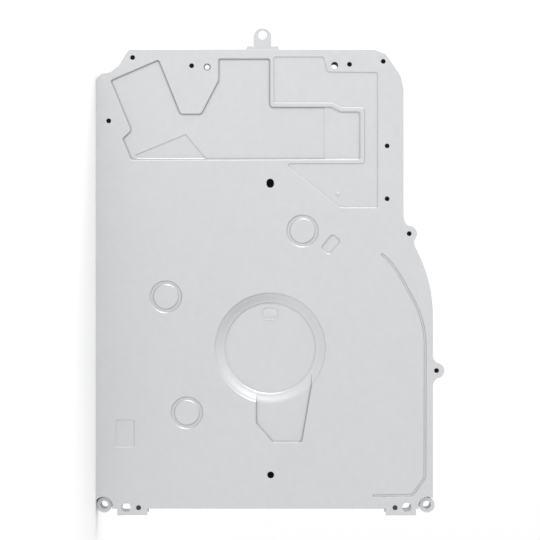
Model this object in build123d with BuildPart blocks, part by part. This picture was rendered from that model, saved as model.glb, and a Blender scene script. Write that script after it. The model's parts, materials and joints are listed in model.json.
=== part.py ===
"""Slot-loading optical drive of a game console, as an assembly of named pieces.

The drive stands on its long straight side. u runs up (photo right), v runs from the disc slot to
the rear, h runs from the underside to the label side. All sizes are in millimetres.
"""
import os
from math import atan2, cos, degrees, hypot, radians, sin, sqrt, tan

from build123d import *

# Sheet and outline
SHEET = 0.8
SIDE_LOW = -76.6
SIDE_HIGH = 71.4
SHOULDER = 58.5
DEPTH = 201.5
TAB_LENGTH = 10.9
FRONT_TAB = 2.9

# Levels, measured from the middle of the disc path downwards and upwards
TOP_OUT = 9.8
RIM_OUT = -5.4
PAN_DEPTH = 3.0
BAY_STEP = 0.8
EMBOSS = 0.6
TOP_IN = TOP_OUT - SHEET
RIM_IN = RIM_OUT + SHEET
PAN_OUT = RIM_OUT - PAN_DEPTH
PAN_IN = PAN_OUT + SHEET
BAY_IN = RIM_IN + BAY_STEP

# Pressed fields of the label side
CLAMP_FIELD_R = 24.5
CLAMP_FLOOR_R = 20.2
CLAMP_STEP = 0.28
DIMPLES = [(-45.8, 93.0), (-36.6, 42.1), (14.2, 121.9)]
DIMPLE_R = 7.2
SMALL_FIELD = (26.6, 116.0)
CREASE_U = 24.1
FACET = [(-59.5, DEPTH - 46.2), (-37.1, DEPTH - 37.0), (-27.9, DEPTH - 47.9), (-58.7, DEPTH - 47.9)]

# Frame: the long side stands on the ground, the middle of the thickness and depth at the origin
FACE = Plane(
    origin=((TOP_OUT + PAN_OUT) / 2, -(DEPTH + TAB_LENGTH - FRONT_TAB) / 2, -SIDE_LOW),
    x_dir=(0, 0, 1),
    z_dir=(-1, 0, 0),
)

# Disc and its path
DISC_V = 70.4
DISC_R = 60.0
DISC_THICK = 1.2
DISC_HOLE_R = 7.5
PATH_LOW = 4.9
PLAY_LOW = 2.4
SLOT_LOW = 3.6
SLOT_HIGH = 8.0
SLOT_HALF = DISC_R + 1.2
FELT_GAP = 1.6
FELT_V = 4.8
FELT_LENGTH = 2.2

# Fastenings
SCREW_R = 1.0
SCREW_HEAD_R = 1.8
SCREW_HEAD_T = 0.7
POST_R = 2.2
COVER_SCREWS = [
    (-60.4, DEPTH - 3.5),
    (49.6, DEPTH - 5.2),
    (34.8, DEPTH - 6.5),
    (51.3, DEPTH - 42.3),
    (51.3, DEPTH - 65.5),
    (61.0, DEPTH - 80.8),
    (73.0, 60.6),
]
BAY_SCREWS = COVER_SCREWS[2:5]
RIM_SCREWS = COVER_SCREWS[:2] + COVER_SCREWS[5:]
BLIND_SCREWS = [(-34.5, DEPTH - 7.1), (-70.9, DEPTH - 31.3)]
BLIND_LENGTH = 4.0
PASS_HOLE = (28.3, DEPTH - 6.9)
PASS_R = 1.5
PIN_HOLE = (-27.7, DEPTH - 7.7)
EAR_SIDES = [(SIDE_LOW + 3.4, 1.2), (SIDE_HIGH - 2.3, 1.2)]
EAR_R = 3.4
SIDE_EAR_R = 3.4
SIDE_EAR_BLEND = 3.4
EAR_HOLE_R = 1.7
EAR_LOW = -1.5
EAR_HIGH = 4.5
LOCATE_HOLES = [(-63.3, 0.6), (59.9, 0.6)]
LOCATE_R = 2.0
FRAME_PINS = [(-57.8, 0.4), (54.8, 0.4)]
FRAME_PIN_R = 1.05
TAB_U = -3.4
TAB_V = DEPTH + 7.9
TAB_HALF = 3.9
TAB_HOLE_R = 2.0
FIT = 0.05
SEAT = 0.3

# Board in the rear bay
BOARD_T = 1.0
BOARD_LOW = -3.4
BOARD_HIGH = BOARD_LOW + BOARD_T
FILM_T = 0.15
FILM_EDGE = 1.1

# Pickup unit, turned in the plane of the covers
UNIT_ANGLE = -148.0
MOUNTS = [(1.7, 99.8), (38.9, 70.8), (-48.1, 82.1), (-29.8, 23.3)]
MOUNT_RECESS_R = [9.8, 11.1, 9.5, 9.4]
MOUNT_DEPTH = 2.0
DAMPER_R = 7.0
DAMPER_WAIST = 5.0
DAMPER_BORE = 2.0
DAMPER_OUT = 1.5
DAMPER_IN = 1.0
MOUNT_HEAD_R = 3.5
MOUNT_HEAD_T = 0.5
MOUNT_SHANK = 1.9
UNIT_T = 1.2
UNIT_LOW = PAN_OUT + MOUNT_DEPTH + SHEET + DAMPER_IN
UNIT_HIGH = UNIT_LOW + UNIT_T
ROTOR_R = 12.6
HUB_R = DISC_HOLE_R - 0.1
HUB_T = DISC_THICK + 0.2
TABLE_R = 15.0
TABLE_T = 1.0
RING_T = 0.3
ROD_R = 1.2
ROD_B = 14.5
ROD_H = -1.2
ROD_START = 12.9
ROD_END = 64.3
SLED_START = 22.0
SLED_LENGTH = 13.6
SLED_HALF = 16.8
SLED_TRAVEL = 33.0
SLED_LOW = -4.4
SLED_HIGH = 0.9
LENS_R = 2.0
LENS_H = 1.5
FEED_B = -21.6
FEED_H = -1.3
FEED_R = 1.1
FEED_MOTOR_R = 3.3
FEED_MOTOR_LENGTH = 9.0

# Clamp
CLAMP_PIVOT_V = DISC_V + 63.6
CLAMP_H = 7.5
CLAMP_T = 0.8
CLAMPER_R = 14.0
CLAMPER_NECK = 6.5
CLAMPER_HOLE = 7.2
CLAMPER_CAP = 9.0
CLAMP_DROP = 2.4
PIVOT_R = 0.9
PIVOT_HALF = 13.0

# Loading drive: gears stand on edge along the low side
GEAR_U = -74.0
GEAR_W = 2.4
MODULE = 0.5
ROLLER_V = 13.0
ROLLER_R = 4.0
ROLLER_WAIST = 3.3
ROLLER_HALF = 57.5
SHAFT_R = 1.0
ROLLER_TEETH = 20
IDLER_TEETH = 24
IDLER_H = 1.5
IDLER_COUNT = 4
PINION_TEETH = 12
WORM_MODULE = 0.4
WORM_TEETH = 18
WORM_R = 1.6
WORM_LENGTH = 11.0
MOTOR_R = 5.0
MOTOR_LENGTH = 20.0
WORM_H = 3.9

# Cam slide along the high side
SLIDE_U = 64.6
SLIDE_W = 1.4
SLIDE_TRAVEL = 12.0
FOLLOW_V = 80.0
FOLLOW_R = 0.8
FOLLOW_PLAY = 0.2
FOLLOW_H = 4.4

# Disc sensing levers
LEVER_U = 45.0
LEVER_V = DISC_V + 67.6
LEVER_TIP_U = 27.0
LEVER_TIP_V = DISC_V + 48.6
LEVER_T = 0.8
LEVER_PIN_R = 1.4
LEVER_BORE = 1.5

os.makedirs("parts", exist_ok=True)


def level(h):
    """Plane of the covers at a height above the disc path's zero level."""
    return FACE.offset(h)


def upright(u):
    """Plane across the drive: x runs to the rear, y to the label side, z up the drive."""
    start = FACE.from_local_coords(Vector(u, 0, 0))
    return Plane(origin=start, x_dir=(0, 1, 0), z_dir=(0, 0, 1))


def unit_level(h):
    """Plane of the pickup unit: x runs along the sled's way, the spindle is at its middle."""
    start = FACE.from_local_coords(Vector(0, DISC_V, h))
    turn = radians(UNIT_ANGLE)
    way = FACE.from_local_coords(Vector(cos(turn), DISC_V + sin(turn), h)) - start
    return Plane(origin=start, x_dir=way, z_dir=FACE.z_dir)


def across_unit(a):
    """Plane square to the sled's way, seen along it: x runs sideways, y to the label side."""
    base = unit_level(0)
    start = base.from_local_coords(Vector(a, 0, 0))
    return Plane(origin=start, x_dir=base.y_dir, z_dir=base.x_dir)


def outline(inset):
    """Plan outline of the covers, pulled in by a wall, with two blended screw ears on the high side."""
    low = SIDE_LOW + inset
    high = SIDE_HIGH - inset
    step = SHOULDER - inset
    back = DEPTH - inset
    with BuildLine() as path:
        corner = FilletPolyline(
            (low, inset),
            (low, DEPTH - 13.3),
            (-74.4 + inset, DEPTH - 10.6 - inset),
            (-70.4 + inset, DEPTH - 10.0 - inset),
            (-66.6 + inset, DEPTH - 7.2 - inset),
            (-62.2 + inset, back),
            (46.0 - inset, back),
            (50.6 - inset, DEPTH - 1.9 - inset),
            (54.0 - inset, DEPTH - 6.6 - inset),
            (57.2 - inset, DEPTH - 11.5 - inset),
            (step, DEPTH - 17.0 - inset),
            (step, DEPTH - 73.5),
            radius=2.4,
        )
        swell = Spline(
            corner @ 1,
            (66.3 - inset, DEPTH - 92.2),
            (high, 84.0),
            tangents=((0.25, -1), (0, -1)),
        )
        Polyline(swell @ 1, (high, inset), (low, inset))
    make_face(path.edges())
    for place in COVER_SCREWS[-2:]:
        with Locations(place):
            Circle(SIDE_EAR_R - inset)
    roots = []
    for point in vertices():
        for u, v in COVER_SCREWS[-2:]:
            if abs(hypot(point.X - u, point.Y - v) - SIDE_EAR_R + inset) < 0.01:
                roots.append(point)
    fillet(roots, radius=SIDE_EAR_BLEND + inset)


def deep_region():
    """Recessed field behind the disc on the label side."""
    with BuildLine() as path:
        FilletPolyline(
            (-70.5, DEPTH - 13.5),
            (-48.8, DEPTH - 4.1),
            (-39.2, DEPTH - 28),
            (-30.5, DEPTH - 28),
            (-23.0, DEPTH - 13.5),
            (-23.0, DEPTH - 3.8),
            (0.2, DEPTH - 3.8),
            (0.2, DEPTH - 25),
            (27.0, DEPTH - 25),
            (31.0, DEPTH - 27.1),
            (39.7, DEPTH - 27.1),
            (39.7, DEPTH - 48.4),
            (-61.2, DEPTH - 48.7),
            (-65.2, DEPTH - 39.1),
            (-61.4, DEPTH - 35.5),
            radius=1.2,
            close=True,
        )
    make_face(path.edges())


def shallow_region():
    """Fainter field between the deep one and the high side."""
    with BuildLine() as path:
        FilletPolyline(
            (1.4, DEPTH - 3.1),
            (23.6, DEPTH - 3.1),
            (25.2, DEPTH - 9.7),
            (47.3, DEPTH - 9.9),
            (47.3, DEPTH - 69.5),
            (30.5, DEPTH - 69.5),
            (6.0, DEPTH - 49.9),
            (41.2, DEPTH - 49.9),
            (41.2, DEPTH - 25.6),
            (31.4, DEPTH - 25.6),
            (27.4, DEPTH - 23.5),
            (1.4, DEPTH - 23.5),
            radius=1.0,
            close=True,
        )
    make_face(path.edges())


def tail_region():
    """Recess that leads from the clamp's round field towards the slot."""
    with BuildLine() as path:
        FilletPolyline(
            (-6.4, 60.0),
            (-6.4, 37.4),
            (1.1, 28.9),
            (14.0, 28.9),
            (18.5, 55.0),
            (18.5, 60.0),
            radius=1.5,
            close=True,
        )
    make_face(path.edges())


def pan_region():
    """Raised field of the underside that carries the pickup unit."""
    with BuildLine() as path:
        FilletPolyline(
            (16.4, DEPTH - 2.4),
            (21.8, DEPTH - 5.2),
            (24.1, DEPTH - 10.9),
            (24.1, DEPTH - 57.5),
            (26.0, DEPTH - 63.0),
            (31.3, DEPTH - 69.2),
            (47.5, DEPTH - 84.0),
            (60.6, 102.0),
            (67.4, 87.0),
            (69.5, 71.0),
            (69.8, 15.5),
            (66.6, 4.6),
            (-71.2, 4.6),
            (-74.6, 11.0),
            (-74.6, DEPTH - 88.3),
            (-64.6, DEPTH - 86.6),
            (-62.4, DEPTH - 7.5),
            (-56.0, DEPTH - 2.4),
            radius=3.4,
            close=True,
        )
    make_face(path.edges())


def bay_region():
    """Field of the underside that lies over the board, one step in from the rim."""
    with BuildLine() as path:
        FilletPolyline(
            (17.5, DEPTH - 1.9),
            (41.4, DEPTH - 1.9),
            (45.6, DEPTH - 5.7),
            (55.6, DEPTH - 21.9),
            (56.0, DEPTH - 82.7),
            (48.4, DEPTH - 83.1),
            (32.0, DEPTH - 68.2),
            (25.2, DEPTH - 58.9),
            (25.2, DEPTH - 9.5),
            radius=1.0,
            close=True,
        )
    make_face(path.edges())


def window_one(grow):
    """Stepped opening over the wire connector."""
    g = grow
    Polygon(
        (33.4 - g, DEPTH - 9.1 + g),
        (44.3 + g, DEPTH - 9.1 + g),
        (44.3 + g, DEPTH - 17.0 + g),
        (49.3 + g, DEPTH - 17.9 + g),
        (49.3 + g, DEPTH - 34.4 - g),
        (31.8 - g, DEPTH - 34.4 - g),
        (31.8 - g, DEPTH - 18.5 + g),
        (33.4 - g, DEPTH - 16.8 + g),
        align=None,
    )


def window_two(grow):
    """Opening over the ribbon connector, with one corner cut."""
    g = grow
    Polygon(
        (27.7 - g, DEPTH - 44.0 + g),
        (44.5 + g, DEPTH - 44.0 + g),
        (44.5 + g, DEPTH - 64.1 - g),
        (30.0 - g, DEPTH - 64.1 - g),
        (27.7 - g, DEPTH - 59.9 - g),
        align=None,
    )


def gear_profile(teeth, module, phase):
    """Spur gear with straight-sided teeth and a little backlash."""
    root = module * (teeth / 2 - 1.25)
    tip = module * (teeth / 2 + 0.85)
    slope = tan(radians(20))
    half = 0.64 * module
    Circle(root)
    with PolarLocations(0, teeth, start_angle=phase):
        Polygon(
            (root - 0.2, -half - 1.25 * module * slope),
            (tip, -half + 0.85 * module * slope),
            (tip, half - 0.85 * module * slope),
            (root - 0.2, half + 1.25 * module * slope),
            align=None,
        )


def next_phase(phase, teeth, other, direction):
    """Turn of the next gear so that its gap faces the tooth of the one before."""
    part = ((direction - phase) * teeth / 360.0) % 1.0
    return direction + 180.0 - (0.5 - part) * 360.0 / other


# Gear centres along the low side, from the roller to the worm wheel
reach = MODULE * (ROLLER_TEETH + IDLER_TEETH) / 2
roller_h = PATH_LOW - ROLLER_R
first_idler_v = ROLLER_V + sqrt(reach**2 - (roller_h - IDLER_H) ** 2)
idler_pitch = MODULE * IDLER_TEETH
idler_v = [first_idler_v + idler_pitch * n for n in range(IDLER_COUNT)]
worm_wheel_tip = WORM_MODULE * (WORM_TEETH / 2 + 0.85)
wheel_h = WORM_H - WORM_R - 0.15 - worm_wheel_tip
wheel_reach = MODULE * (IDLER_TEETH + PINION_TEETH) / 2
wheel_v = idler_v[-1] + sqrt(wheel_reach**2 - (wheel_h - IDLER_H) ** 2)
idler_phase = [0.0]
for _ in range(IDLER_COUNT - 1):
    idler_phase.append(next_phase(idler_phase[-1], IDLER_TEETH, IDLER_TEETH, 0.0))
roller_turn = degrees(atan2(roller_h - IDLER_H, ROLLER_V - first_idler_v))
roller_phase = next_phase(idler_phase[0], IDLER_TEETH, ROLLER_TEETH, roller_turn)
pinion_turn = degrees(atan2(wheel_h - IDLER_H, wheel_v - idler_v[-1]))
pinion_phase = next_phase(idler_phase[-1], IDLER_TEETH, PINION_TEETH, pinion_turn)
motor_v = wheel_v + WORM_LENGTH / 2 + 1.5

# Label-side cover: a shallow box, open at the slot, with pressed-in fields
with BuildPart() as top_cover:
    with BuildSketch(level(TOP_IN)):
        outline(0)
    extrude(amount=SHEET)
    with BuildSketch(level(RIM_IN)):
        outline(0)
    extrude(amount=TOP_IN - RIM_IN)
    with BuildSketch(level(RIM_IN)):
        outline(SHEET)
    extrude(amount=TOP_IN - RIM_IN, mode=Mode.SUBTRACT)
    with BuildSketch(level(RIM_IN)):
        with Locations(((EAR_SIDES[0][0] + EAR_SIDES[1][0]) / 2, 0)):
            Rectangle(EAR_SIDES[1][0] - EAR_SIDES[0][0] - 2 * EAR_R - 1.0, 4 * SHEET)
    extrude(amount=TOP_IN - RIM_IN, mode=Mode.SUBTRACT)
    with BuildSketch(level(TOP_IN - EMBOSS)):
        deep_region()
        shallow_region()
        tail_region()
        with Locations((0, DISC_V)):
            Circle(CLAMP_FIELD_R)
        with Locations(*DIMPLES):
            Circle(DIMPLE_R)
    extrude(amount=EMBOSS)
    with BuildSketch(level(RIM_IN)):
        with Locations(*COVER_SCREWS):
            Circle(POST_R)
    extrude(amount=TOP_IN - RIM_IN)
    with BuildSketch(level(RIM_IN)):
        bay_region()
    extrude(amount=BAY_STEP, mode=Mode.SUBTRACT)
    with BuildSketch(level(TOP_OUT)):
        deep_region()
    extrude(amount=-EMBOSS * 0.75, taper=50, mode=Mode.SUBTRACT)
    with BuildSketch(level(TOP_OUT - EMBOSS * 0.6)):
        deep_region()
        with Locations((CREASE_U + 10.0, DEPTH - 36.5)):
            Rectangle(20.0, 30.0, mode=Mode.SUBTRACT)
    extrude(amount=-EMBOSS * 0.4, taper=65, mode=Mode.SUBTRACT)
    with BuildSketch(level(TOP_OUT - EMBOSS)):
        Polygon(*FACET, align=None)
    extrude(amount=-EMBOSS * 0.35, taper=60, mode=Mode.SUBTRACT)
    with BuildSketch(level(TOP_OUT)):
        shallow_region()
    extrude(amount=-EMBOSS / 3, taper=50, mode=Mode.SUBTRACT)
    with BuildSketch(level(TOP_OUT)):
        tail_region()
    extrude(amount=-EMBOSS * 0.9, taper=40, mode=Mode.SUBTRACT)
    with BuildSketch(level(TOP_OUT)):
        with Locations((0, DISC_V)):
            Circle(CLAMP_FIELD_R)
    extrude(amount=-CLAMP_STEP, taper=60, mode=Mode.SUBTRACT)
    clamp_slope = CLAMP_FIELD_R - CLAMP_STEP * tan(radians(60)) - CLAMP_FLOOR_R
    with BuildSketch(level(TOP_OUT - CLAMP_STEP)):
        with Locations((0, DISC_V)):
            Circle(CLAMP_FIELD_R - CLAMP_STEP * tan(radians(60)))
    extrude(amount=-CLAMP_STEP, taper=degrees(atan2(clamp_slope, CLAMP_STEP)), mode=Mode.SUBTRACT)
    with BuildSketch(level(TOP_OUT - 2 * CLAMP_STEP)):
        with Locations((0, DISC_V)):
            Circle(CLAMP_FLOOR_R)
    extrude(amount=-CLAMP_STEP, taper=60, mode=Mode.SUBTRACT)
    with BuildSketch(level(TOP_OUT)):
        with Locations(*DIMPLES):
            Circle(DIMPLE_R)
            Circle(DIMPLE_R - 2.0, mode=Mode.SUBTRACT)
        with Locations(SMALL_FIELD):
            RectangleRounded(8.6, 5.4, 1.6, rotation=50)
    extrude(amount=-EMBOSS / 2, taper=55, mode=Mode.SUBTRACT)
    with BuildSketch(level(TOP_OUT)):
        with Locations((-63.7, 33.0)):
            RectangleRounded(8.3, 12.1, 0.8)
    extrude(amount=-EMBOSS / 5, taper=55, mode=Mode.SUBTRACT)
    with BuildSketch(level(TOP_OUT)):
        with BuildLine() as step_line:
            bend = Spline(
                (48.7, 111.8),
                (54.9, 105.4),
                (59.8, 97.2),
                (64.7, 87.7),
                (67.1, 80.1),
                (68.0, 70.7),
            )
            FilletPolyline(bend @ 1, (67.9, 13.7), (62.4, 5.8), (45.1, 5.6), radius=3.0)
        trace(step_line.edges(), line_width=1.1)
    extrude(amount=-EMBOSS / 4, mode=Mode.SUBTRACT)
    with BuildSketch(level(TOP_OUT)):
        with Locations((0, DISC_V + 17.0)):
            SlotOverall(7.6, 5.8)
    extrude(amount=-EMBOSS * 1.3, mode=Mode.SUBTRACT)
    with BuildSketch(level(TOP_IN)):
        for side, hole in zip(FRAME_PINS, LOCATE_HOLES):
            middle = (side[0] + hole[0]) / 2
            with Locations((middle, -FRONT_TAB / 2 + 2.0)):
                Rectangle(13.2, FRONT_TAB + 4.0)
    extrude(amount=SHEET)
    with BuildSketch(level(RIM_IN)):
        with Locations(*COVER_SCREWS):
            Circle(SCREW_R + FIT)
    extrude(amount=TOP_OUT - RIM_IN, mode=Mode.SUBTRACT)
    with BuildSketch(level(RIM_IN)):
        with Locations(*EAR_SIDES):
            Circle(EAR_R + 0.6)
    extrude(amount=TOP_OUT - RIM_IN, mode=Mode.SUBTRACT)
    with BuildSketch(level(TOP_OUT - 3 * SHEET)):
        with Locations(*BLIND_SCREWS):
            Circle(SCREW_R + FIT)
        with Locations(*LOCATE_HOLES):
            Circle(LOCATE_R)
        with Locations(*FRAME_PINS):
            Circle(FRAME_PIN_R + FIT)
        with Locations(PASS_HOLE, PIN_HOLE):
            Circle(PASS_R)
        with Locations((0, DEPTH - 58.7)):
            SlotOverall(4.0, 3.3, rotation=90)
        with Locations((0.2, 14.8)):
            Circle(1.5)
        with Locations((29.6, DEPTH - 63.4)):
            Circle(1.0)
    extrude(amount=3 * SHEET, mode=Mode.SUBTRACT)
top_cover.part.label = "top_cover"
export_step(top_cover.part, "parts/top_cover.step")

# Underside cover: rim, board bay, raised pan, mount recesses, ears and rear tab
with BuildPart() as bottom_cover:
    with BuildSketch(level(RIM_OUT)):
        outline(0)
    extrude(amount=SHEET)
    with BuildSketch(level(RIM_IN)):
        bay_region()
    extrude(amount=BAY_STEP)
    with BuildSketch(level(RIM_OUT)):
        bay_region()
    extrude(amount=BAY_STEP, taper=30, mode=Mode.SUBTRACT)
    with BuildSketch(level(RIM_OUT)):
        pan_region()
    extrude(amount=-PAN_DEPTH, taper=42)
    with BuildSketch(level(RIM_IN)):
        pan_region()
    extrude(amount=-PAN_DEPTH, taper=42, mode=Mode.SUBTRACT)
    with BuildSketch(level(PAN_IN)):
        for place, radius in zip(MOUNTS, MOUNT_RECESS_R):
            with Locations(place):
                Circle(radius)
    extrude(amount=MOUNT_DEPTH)
    with BuildSketch(level(PAN_OUT)):
        for place, radius in zip(MOUNTS, MOUNT_RECESS_R):
            with Locations(place):
                Circle(radius)
    extrude(amount=MOUNT_DEPTH, taper=25, mode=Mode.SUBTRACT)
    with BuildSketch(level(PAN_OUT + MOUNT_DEPTH - 0.5)):
        with Locations(*MOUNTS):
            Circle(DAMPER_R + 0.9)
            Circle(DAMPER_R + 0.3, mode=Mode.SUBTRACT)
    extrude(amount=0.5)
    with BuildSketch(level(PAN_OUT)):
        with Locations(*MOUNTS):
            Circle(DAMPER_WAIST)
        with Locations((-66.7, 51.3)):
            Circle(2.35)
    extrude(amount=2 * PAN_DEPTH, mode=Mode.SUBTRACT)
    with BuildSketch(level(RIM_OUT)):
        for v in (DEPTH - 37.6, DEPTH - 69.0):
            for offset in (-0.8, 0.8):
                with Locations((43.0, v + offset)):
                    Rectangle(20.0, 0.5)
    extrude(amount=BAY_STEP * 1.25, mode=Mode.SUBTRACT)
    with BuildSketch(level(RIM_OUT)):
        window_one(0)
        window_two(0)
        with Locations((SHOULDER - 1.9, DEPTH - 53.8)):
            Rectangle(0.8, 20.0)
    extrude(amount=4 * SHEET, mode=Mode.SUBTRACT)
    with BuildSketch(level(RIM_OUT)):
        for side, hole in zip(FRAME_PINS, LOCATE_HOLES):
            middle = (side[0] + hole[0]) / 2
            with Locations((middle, -FRONT_TAB / 2 + 2.0)):
                Rectangle(13.2, FRONT_TAB + 4.0)
        with Locations((TAB_U, DEPTH - 2.0)):
            Rectangle(23.9, 4.0)
        with Locations((TAB_U, (DEPTH + TAB_V) / 2 - 1.0)):
            Rectangle(2 * TAB_HALF, TAB_V - DEPTH + 2.0)
        with Locations((TAB_U, TAB_V - 0.9)):
            Circle(TAB_HALF)
        with Locations((TAB_U, DEPTH + 1.2)):
            Trapezoid(17.0, 3.4, 62)
    extrude(amount=SHEET)
    with BuildSketch(level(RIM_IN)):
        with Locations(*EAR_SIDES):
            Circle(EAR_R)
    extrude(amount=EAR_HIGH - RIM_IN)
    with BuildSketch(level(RIM_OUT)):
        with Locations(*EAR_SIDES):
            Circle(EAR_R)
    extrude(amount=SHEET)
    with BuildSketch(level(RIM_OUT)):
        with Locations(*EAR_SIDES):
            Circle(EAR_HOLE_R)
        with Locations(*COVER_SCREWS):
            Circle(SCREW_R + FIT)
        with Locations((LOCATE_HOLES[0][0], -0.4)):
            SlotOverall(5.4, 2.4)
        with Locations(LOCATE_HOLES[1]):
            SlotOverall(4.4, 3.6)
        with Locations(*FRAME_PINS):
            Circle(FRAME_PIN_R + FIT)
        with Locations(PASS_HOLE):
            Circle(PASS_R)
        with Locations((TAB_U, TAB_V)):
            Circle(TAB_HOLE_R)
        with Locations((-71.7, DEPTH - 81.1)):
            Circle(1.1)
    extrude(amount=EAR_HIGH - RIM_OUT, mode=Mode.SUBTRACT)
bottom_cover.part.label = "bottom_cover"
export_step(bottom_cover.part, "parts/bottom_cover.step")

# Slot frame: the bar behind the slot's mouth, with pins through both covers' front tabs
FRAME_DEPTH = 7.5
FRAME_LOW = EAR_SIDES[0][0] + EAR_R + 0.6
FRAME_HIGH = EAR_SIDES[1][0] - EAR_R - 0.6
with BuildPart() as slot_frame:
    with BuildSketch(level(RIM_IN)):
        with Locations(((FRAME_LOW + FRAME_HIGH) / 2, FRAME_DEPTH / 2)):
            Rectangle(FRAME_HIGH - FRAME_LOW, FRAME_DEPTH)
    extrude(amount=TOP_IN - RIM_IN)
    with BuildSketch(level(SLOT_LOW)):
        with Locations((0, FRAME_DEPTH / 2)):
            Rectangle(2 * SLOT_HALF, FRAME_DEPTH)
    extrude(amount=SLOT_HIGH - SLOT_LOW, mode=Mode.SUBTRACT)
    with BuildSketch(level(RIM_OUT - SEAT)):
        with Locations(*FRAME_PINS):
            Circle(FRAME_PIN_R)
    extrude(amount=SLOT_LOW - RIM_OUT)
    with BuildSketch(level(SLOT_HIGH + SEAT)):
        with Locations(*FRAME_PINS):
            Circle(FRAME_PIN_R)
    extrude(amount=TOP_OUT - SLOT_HIGH - SEAT)
    with BuildSketch(level(RIM_IN)):
        with Locations(*LOCATE_HOLES):
            Rectangle(2 * LOCATE_R + 0.6, 2 * LOCATE_R + 1.4)
    extrude(amount=TOP_IN - RIM_IN, mode=Mode.SUBTRACT)
    with BuildSketch(level(RIM_IN)):
        with Locations((0, FRAME_DEPTH)):
            with GridLocations(16.0, 1.0, 7, 1):
                Rectangle(13.0, 8.0)
    extrude(amount=SLOT_LOW - RIM_IN - 1.6, mode=Mode.SUBTRACT)
slot_frame.part.label = "slot_frame"
export_step(slot_frame.part, "parts/slot_frame.step")

# Felt strips that brush the disc, glued to the two lips of the slot
with BuildPart() as felt_strips:
    with BuildSketch(level(SLOT_LOW)):
        with Locations((0, FELT_V + FELT_LENGTH / 2)):
            Rectangle(2 * SLOT_HALF, FELT_LENGTH)
    extrude(amount=(SLOT_HIGH - SLOT_LOW - FELT_GAP) / 2)
    with BuildSketch(level(SLOT_HIGH)):
        with Locations((0, FELT_V + FELT_LENGTH / 2)):
            Rectangle(2 * SLOT_HALF, FELT_LENGTH)
    extrude(amount=-(SLOT_HIGH - SLOT_LOW - FELT_GAP) / 2)
felt_strips.part.label = "felt_strips"
export_step(felt_strips.part, "parts/felt_strips.step")

# Screws from the underside; the tips end flush with the label side
with BuildPart() as cover_screws:
    for places, seat in ((RIM_SCREWS, RIM_OUT), (BAY_SCREWS, RIM_OUT + BAY_STEP)):
        with BuildSketch(level(seat)):
            with Locations(*places):
                Circle(SCREW_R)
        extrude(amount=TOP_OUT - seat)
        with BuildSketch(level(seat)):
            with Locations(*places):
                Circle(SCREW_HEAD_R)
        extrude(amount=-SCREW_HEAD_T)
cover_screws.part.label = "cover_screws"
export_step(cover_screws.part, "parts/cover_screws.step")

# Short screws that fix the inner chassis to the label-side cover from within
with BuildPart() as chassis_screws:
    with BuildSketch(level(TOP_OUT)):
        with Locations(*BLIND_SCREWS):
            Circle(SCREW_R)
    extrude(amount=-BLIND_LENGTH)
    with BuildSketch(level(TOP_OUT - BLIND_LENGTH)):
        with Locations(*BLIND_SCREWS):
            Circle(SCREW_HEAD_R)
    extrude(amount=-SCREW_HEAD_T)
chassis_screws.part.label = "chassis_screws"
export_step(chassis_screws.part, "parts/chassis_screws.step")

# Inner chassis: rear deck over the board, with columns, stand-offs and screw lugs
DECK_LOW = -0.9
DECK_T = 1.0
COLUMNS = [(-56.0, DEPTH - 93), (-56.0, DEPTH - 15.5)]
FEET = [(-36.0, DEPTH - 15.5), (14.0, DEPTH - 77.5)]
STAND_OFFS = [(-26.0, DEPTH - 63.5), (-26.0, DEPTH - 13.5), (20.0, DEPTH - 13.5), (46.0, DEPTH - 51.5)]
with BuildPart() as inner_chassis:
    with BuildSketch(level(DECK_LOW)):
        with Locations((-5.5, DEPTH - 53.5)):
            RectangleRounded(109.0, 88.0, 3.0)
        with Locations((0, DISC_V)):
            Circle(41.0, mode=Mode.SUBTRACT)
        with Locations((-5.0, DEPTH - 35.5)):
            RectangleRounded(36.0, 34.0, 3.0, mode=Mode.SUBTRACT)
        with Locations(*COVER_SCREWS):
            Circle(POST_R + SEAT, mode=Mode.SUBTRACT)
        with Locations(PASS_HOLE):
            Circle(PASS_R + SEAT, mode=Mode.SUBTRACT)
    extrude(amount=DECK_T)
    with BuildSketch(level(PAN_IN)):
        with Locations(*COLUMNS, *FEET):
            Circle(2.5)
    extrude(amount=DECK_LOW - PAN_IN)
    with BuildSketch(level(DECK_LOW)):
        with Locations(COLUMNS[0]):
            Circle(2.5)
    extrude(amount=TOP_IN - DECK_LOW)
    with BuildSketch(level(DECK_LOW)):
        with Locations(COLUMNS[1]):
            Circle(2.5)
    extrude(amount=TOP_IN - EMBOSS - DECK_LOW)
    with BuildSketch(level(BOARD_HIGH)):
        with Locations(*STAND_OFFS):
            Circle(1.8)
    extrude(amount=DECK_LOW - BOARD_HIGH)
    with BuildSketch(level(TOP_OUT - BLIND_LENGTH)):
        with Locations(BLIND_SCREWS[0]):
            Rectangle(7.0, 6.0)
        with Locations(BLIND_SCREWS[1]):
            Rectangle(7.0, 6.0)
        with Locations((-64.0, DEPTH - 31.3)):
            Rectangle(9.0, 6.0)
        with Locations(*BLIND_SCREWS):
            Circle(SCREW_R + FIT, mode=Mode.SUBTRACT)
    extrude(amount=1.0)
    with BuildSketch(level(DECK_LOW)):
        with Locations((-60.0, DEPTH - 31.3)):
            Rectangle(1.2, 6.0)
        with Locations((-34.5, DEPTH - 10.5)):
            Rectangle(7.0, 1.2)
    extrude(amount=TOP_OUT - BLIND_LENGTH + 1.0 - DECK_LOW)
inner_chassis.part.label = "inner_chassis"
export_step(inner_chassis.part, "parts/inner_chassis.step")

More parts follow.
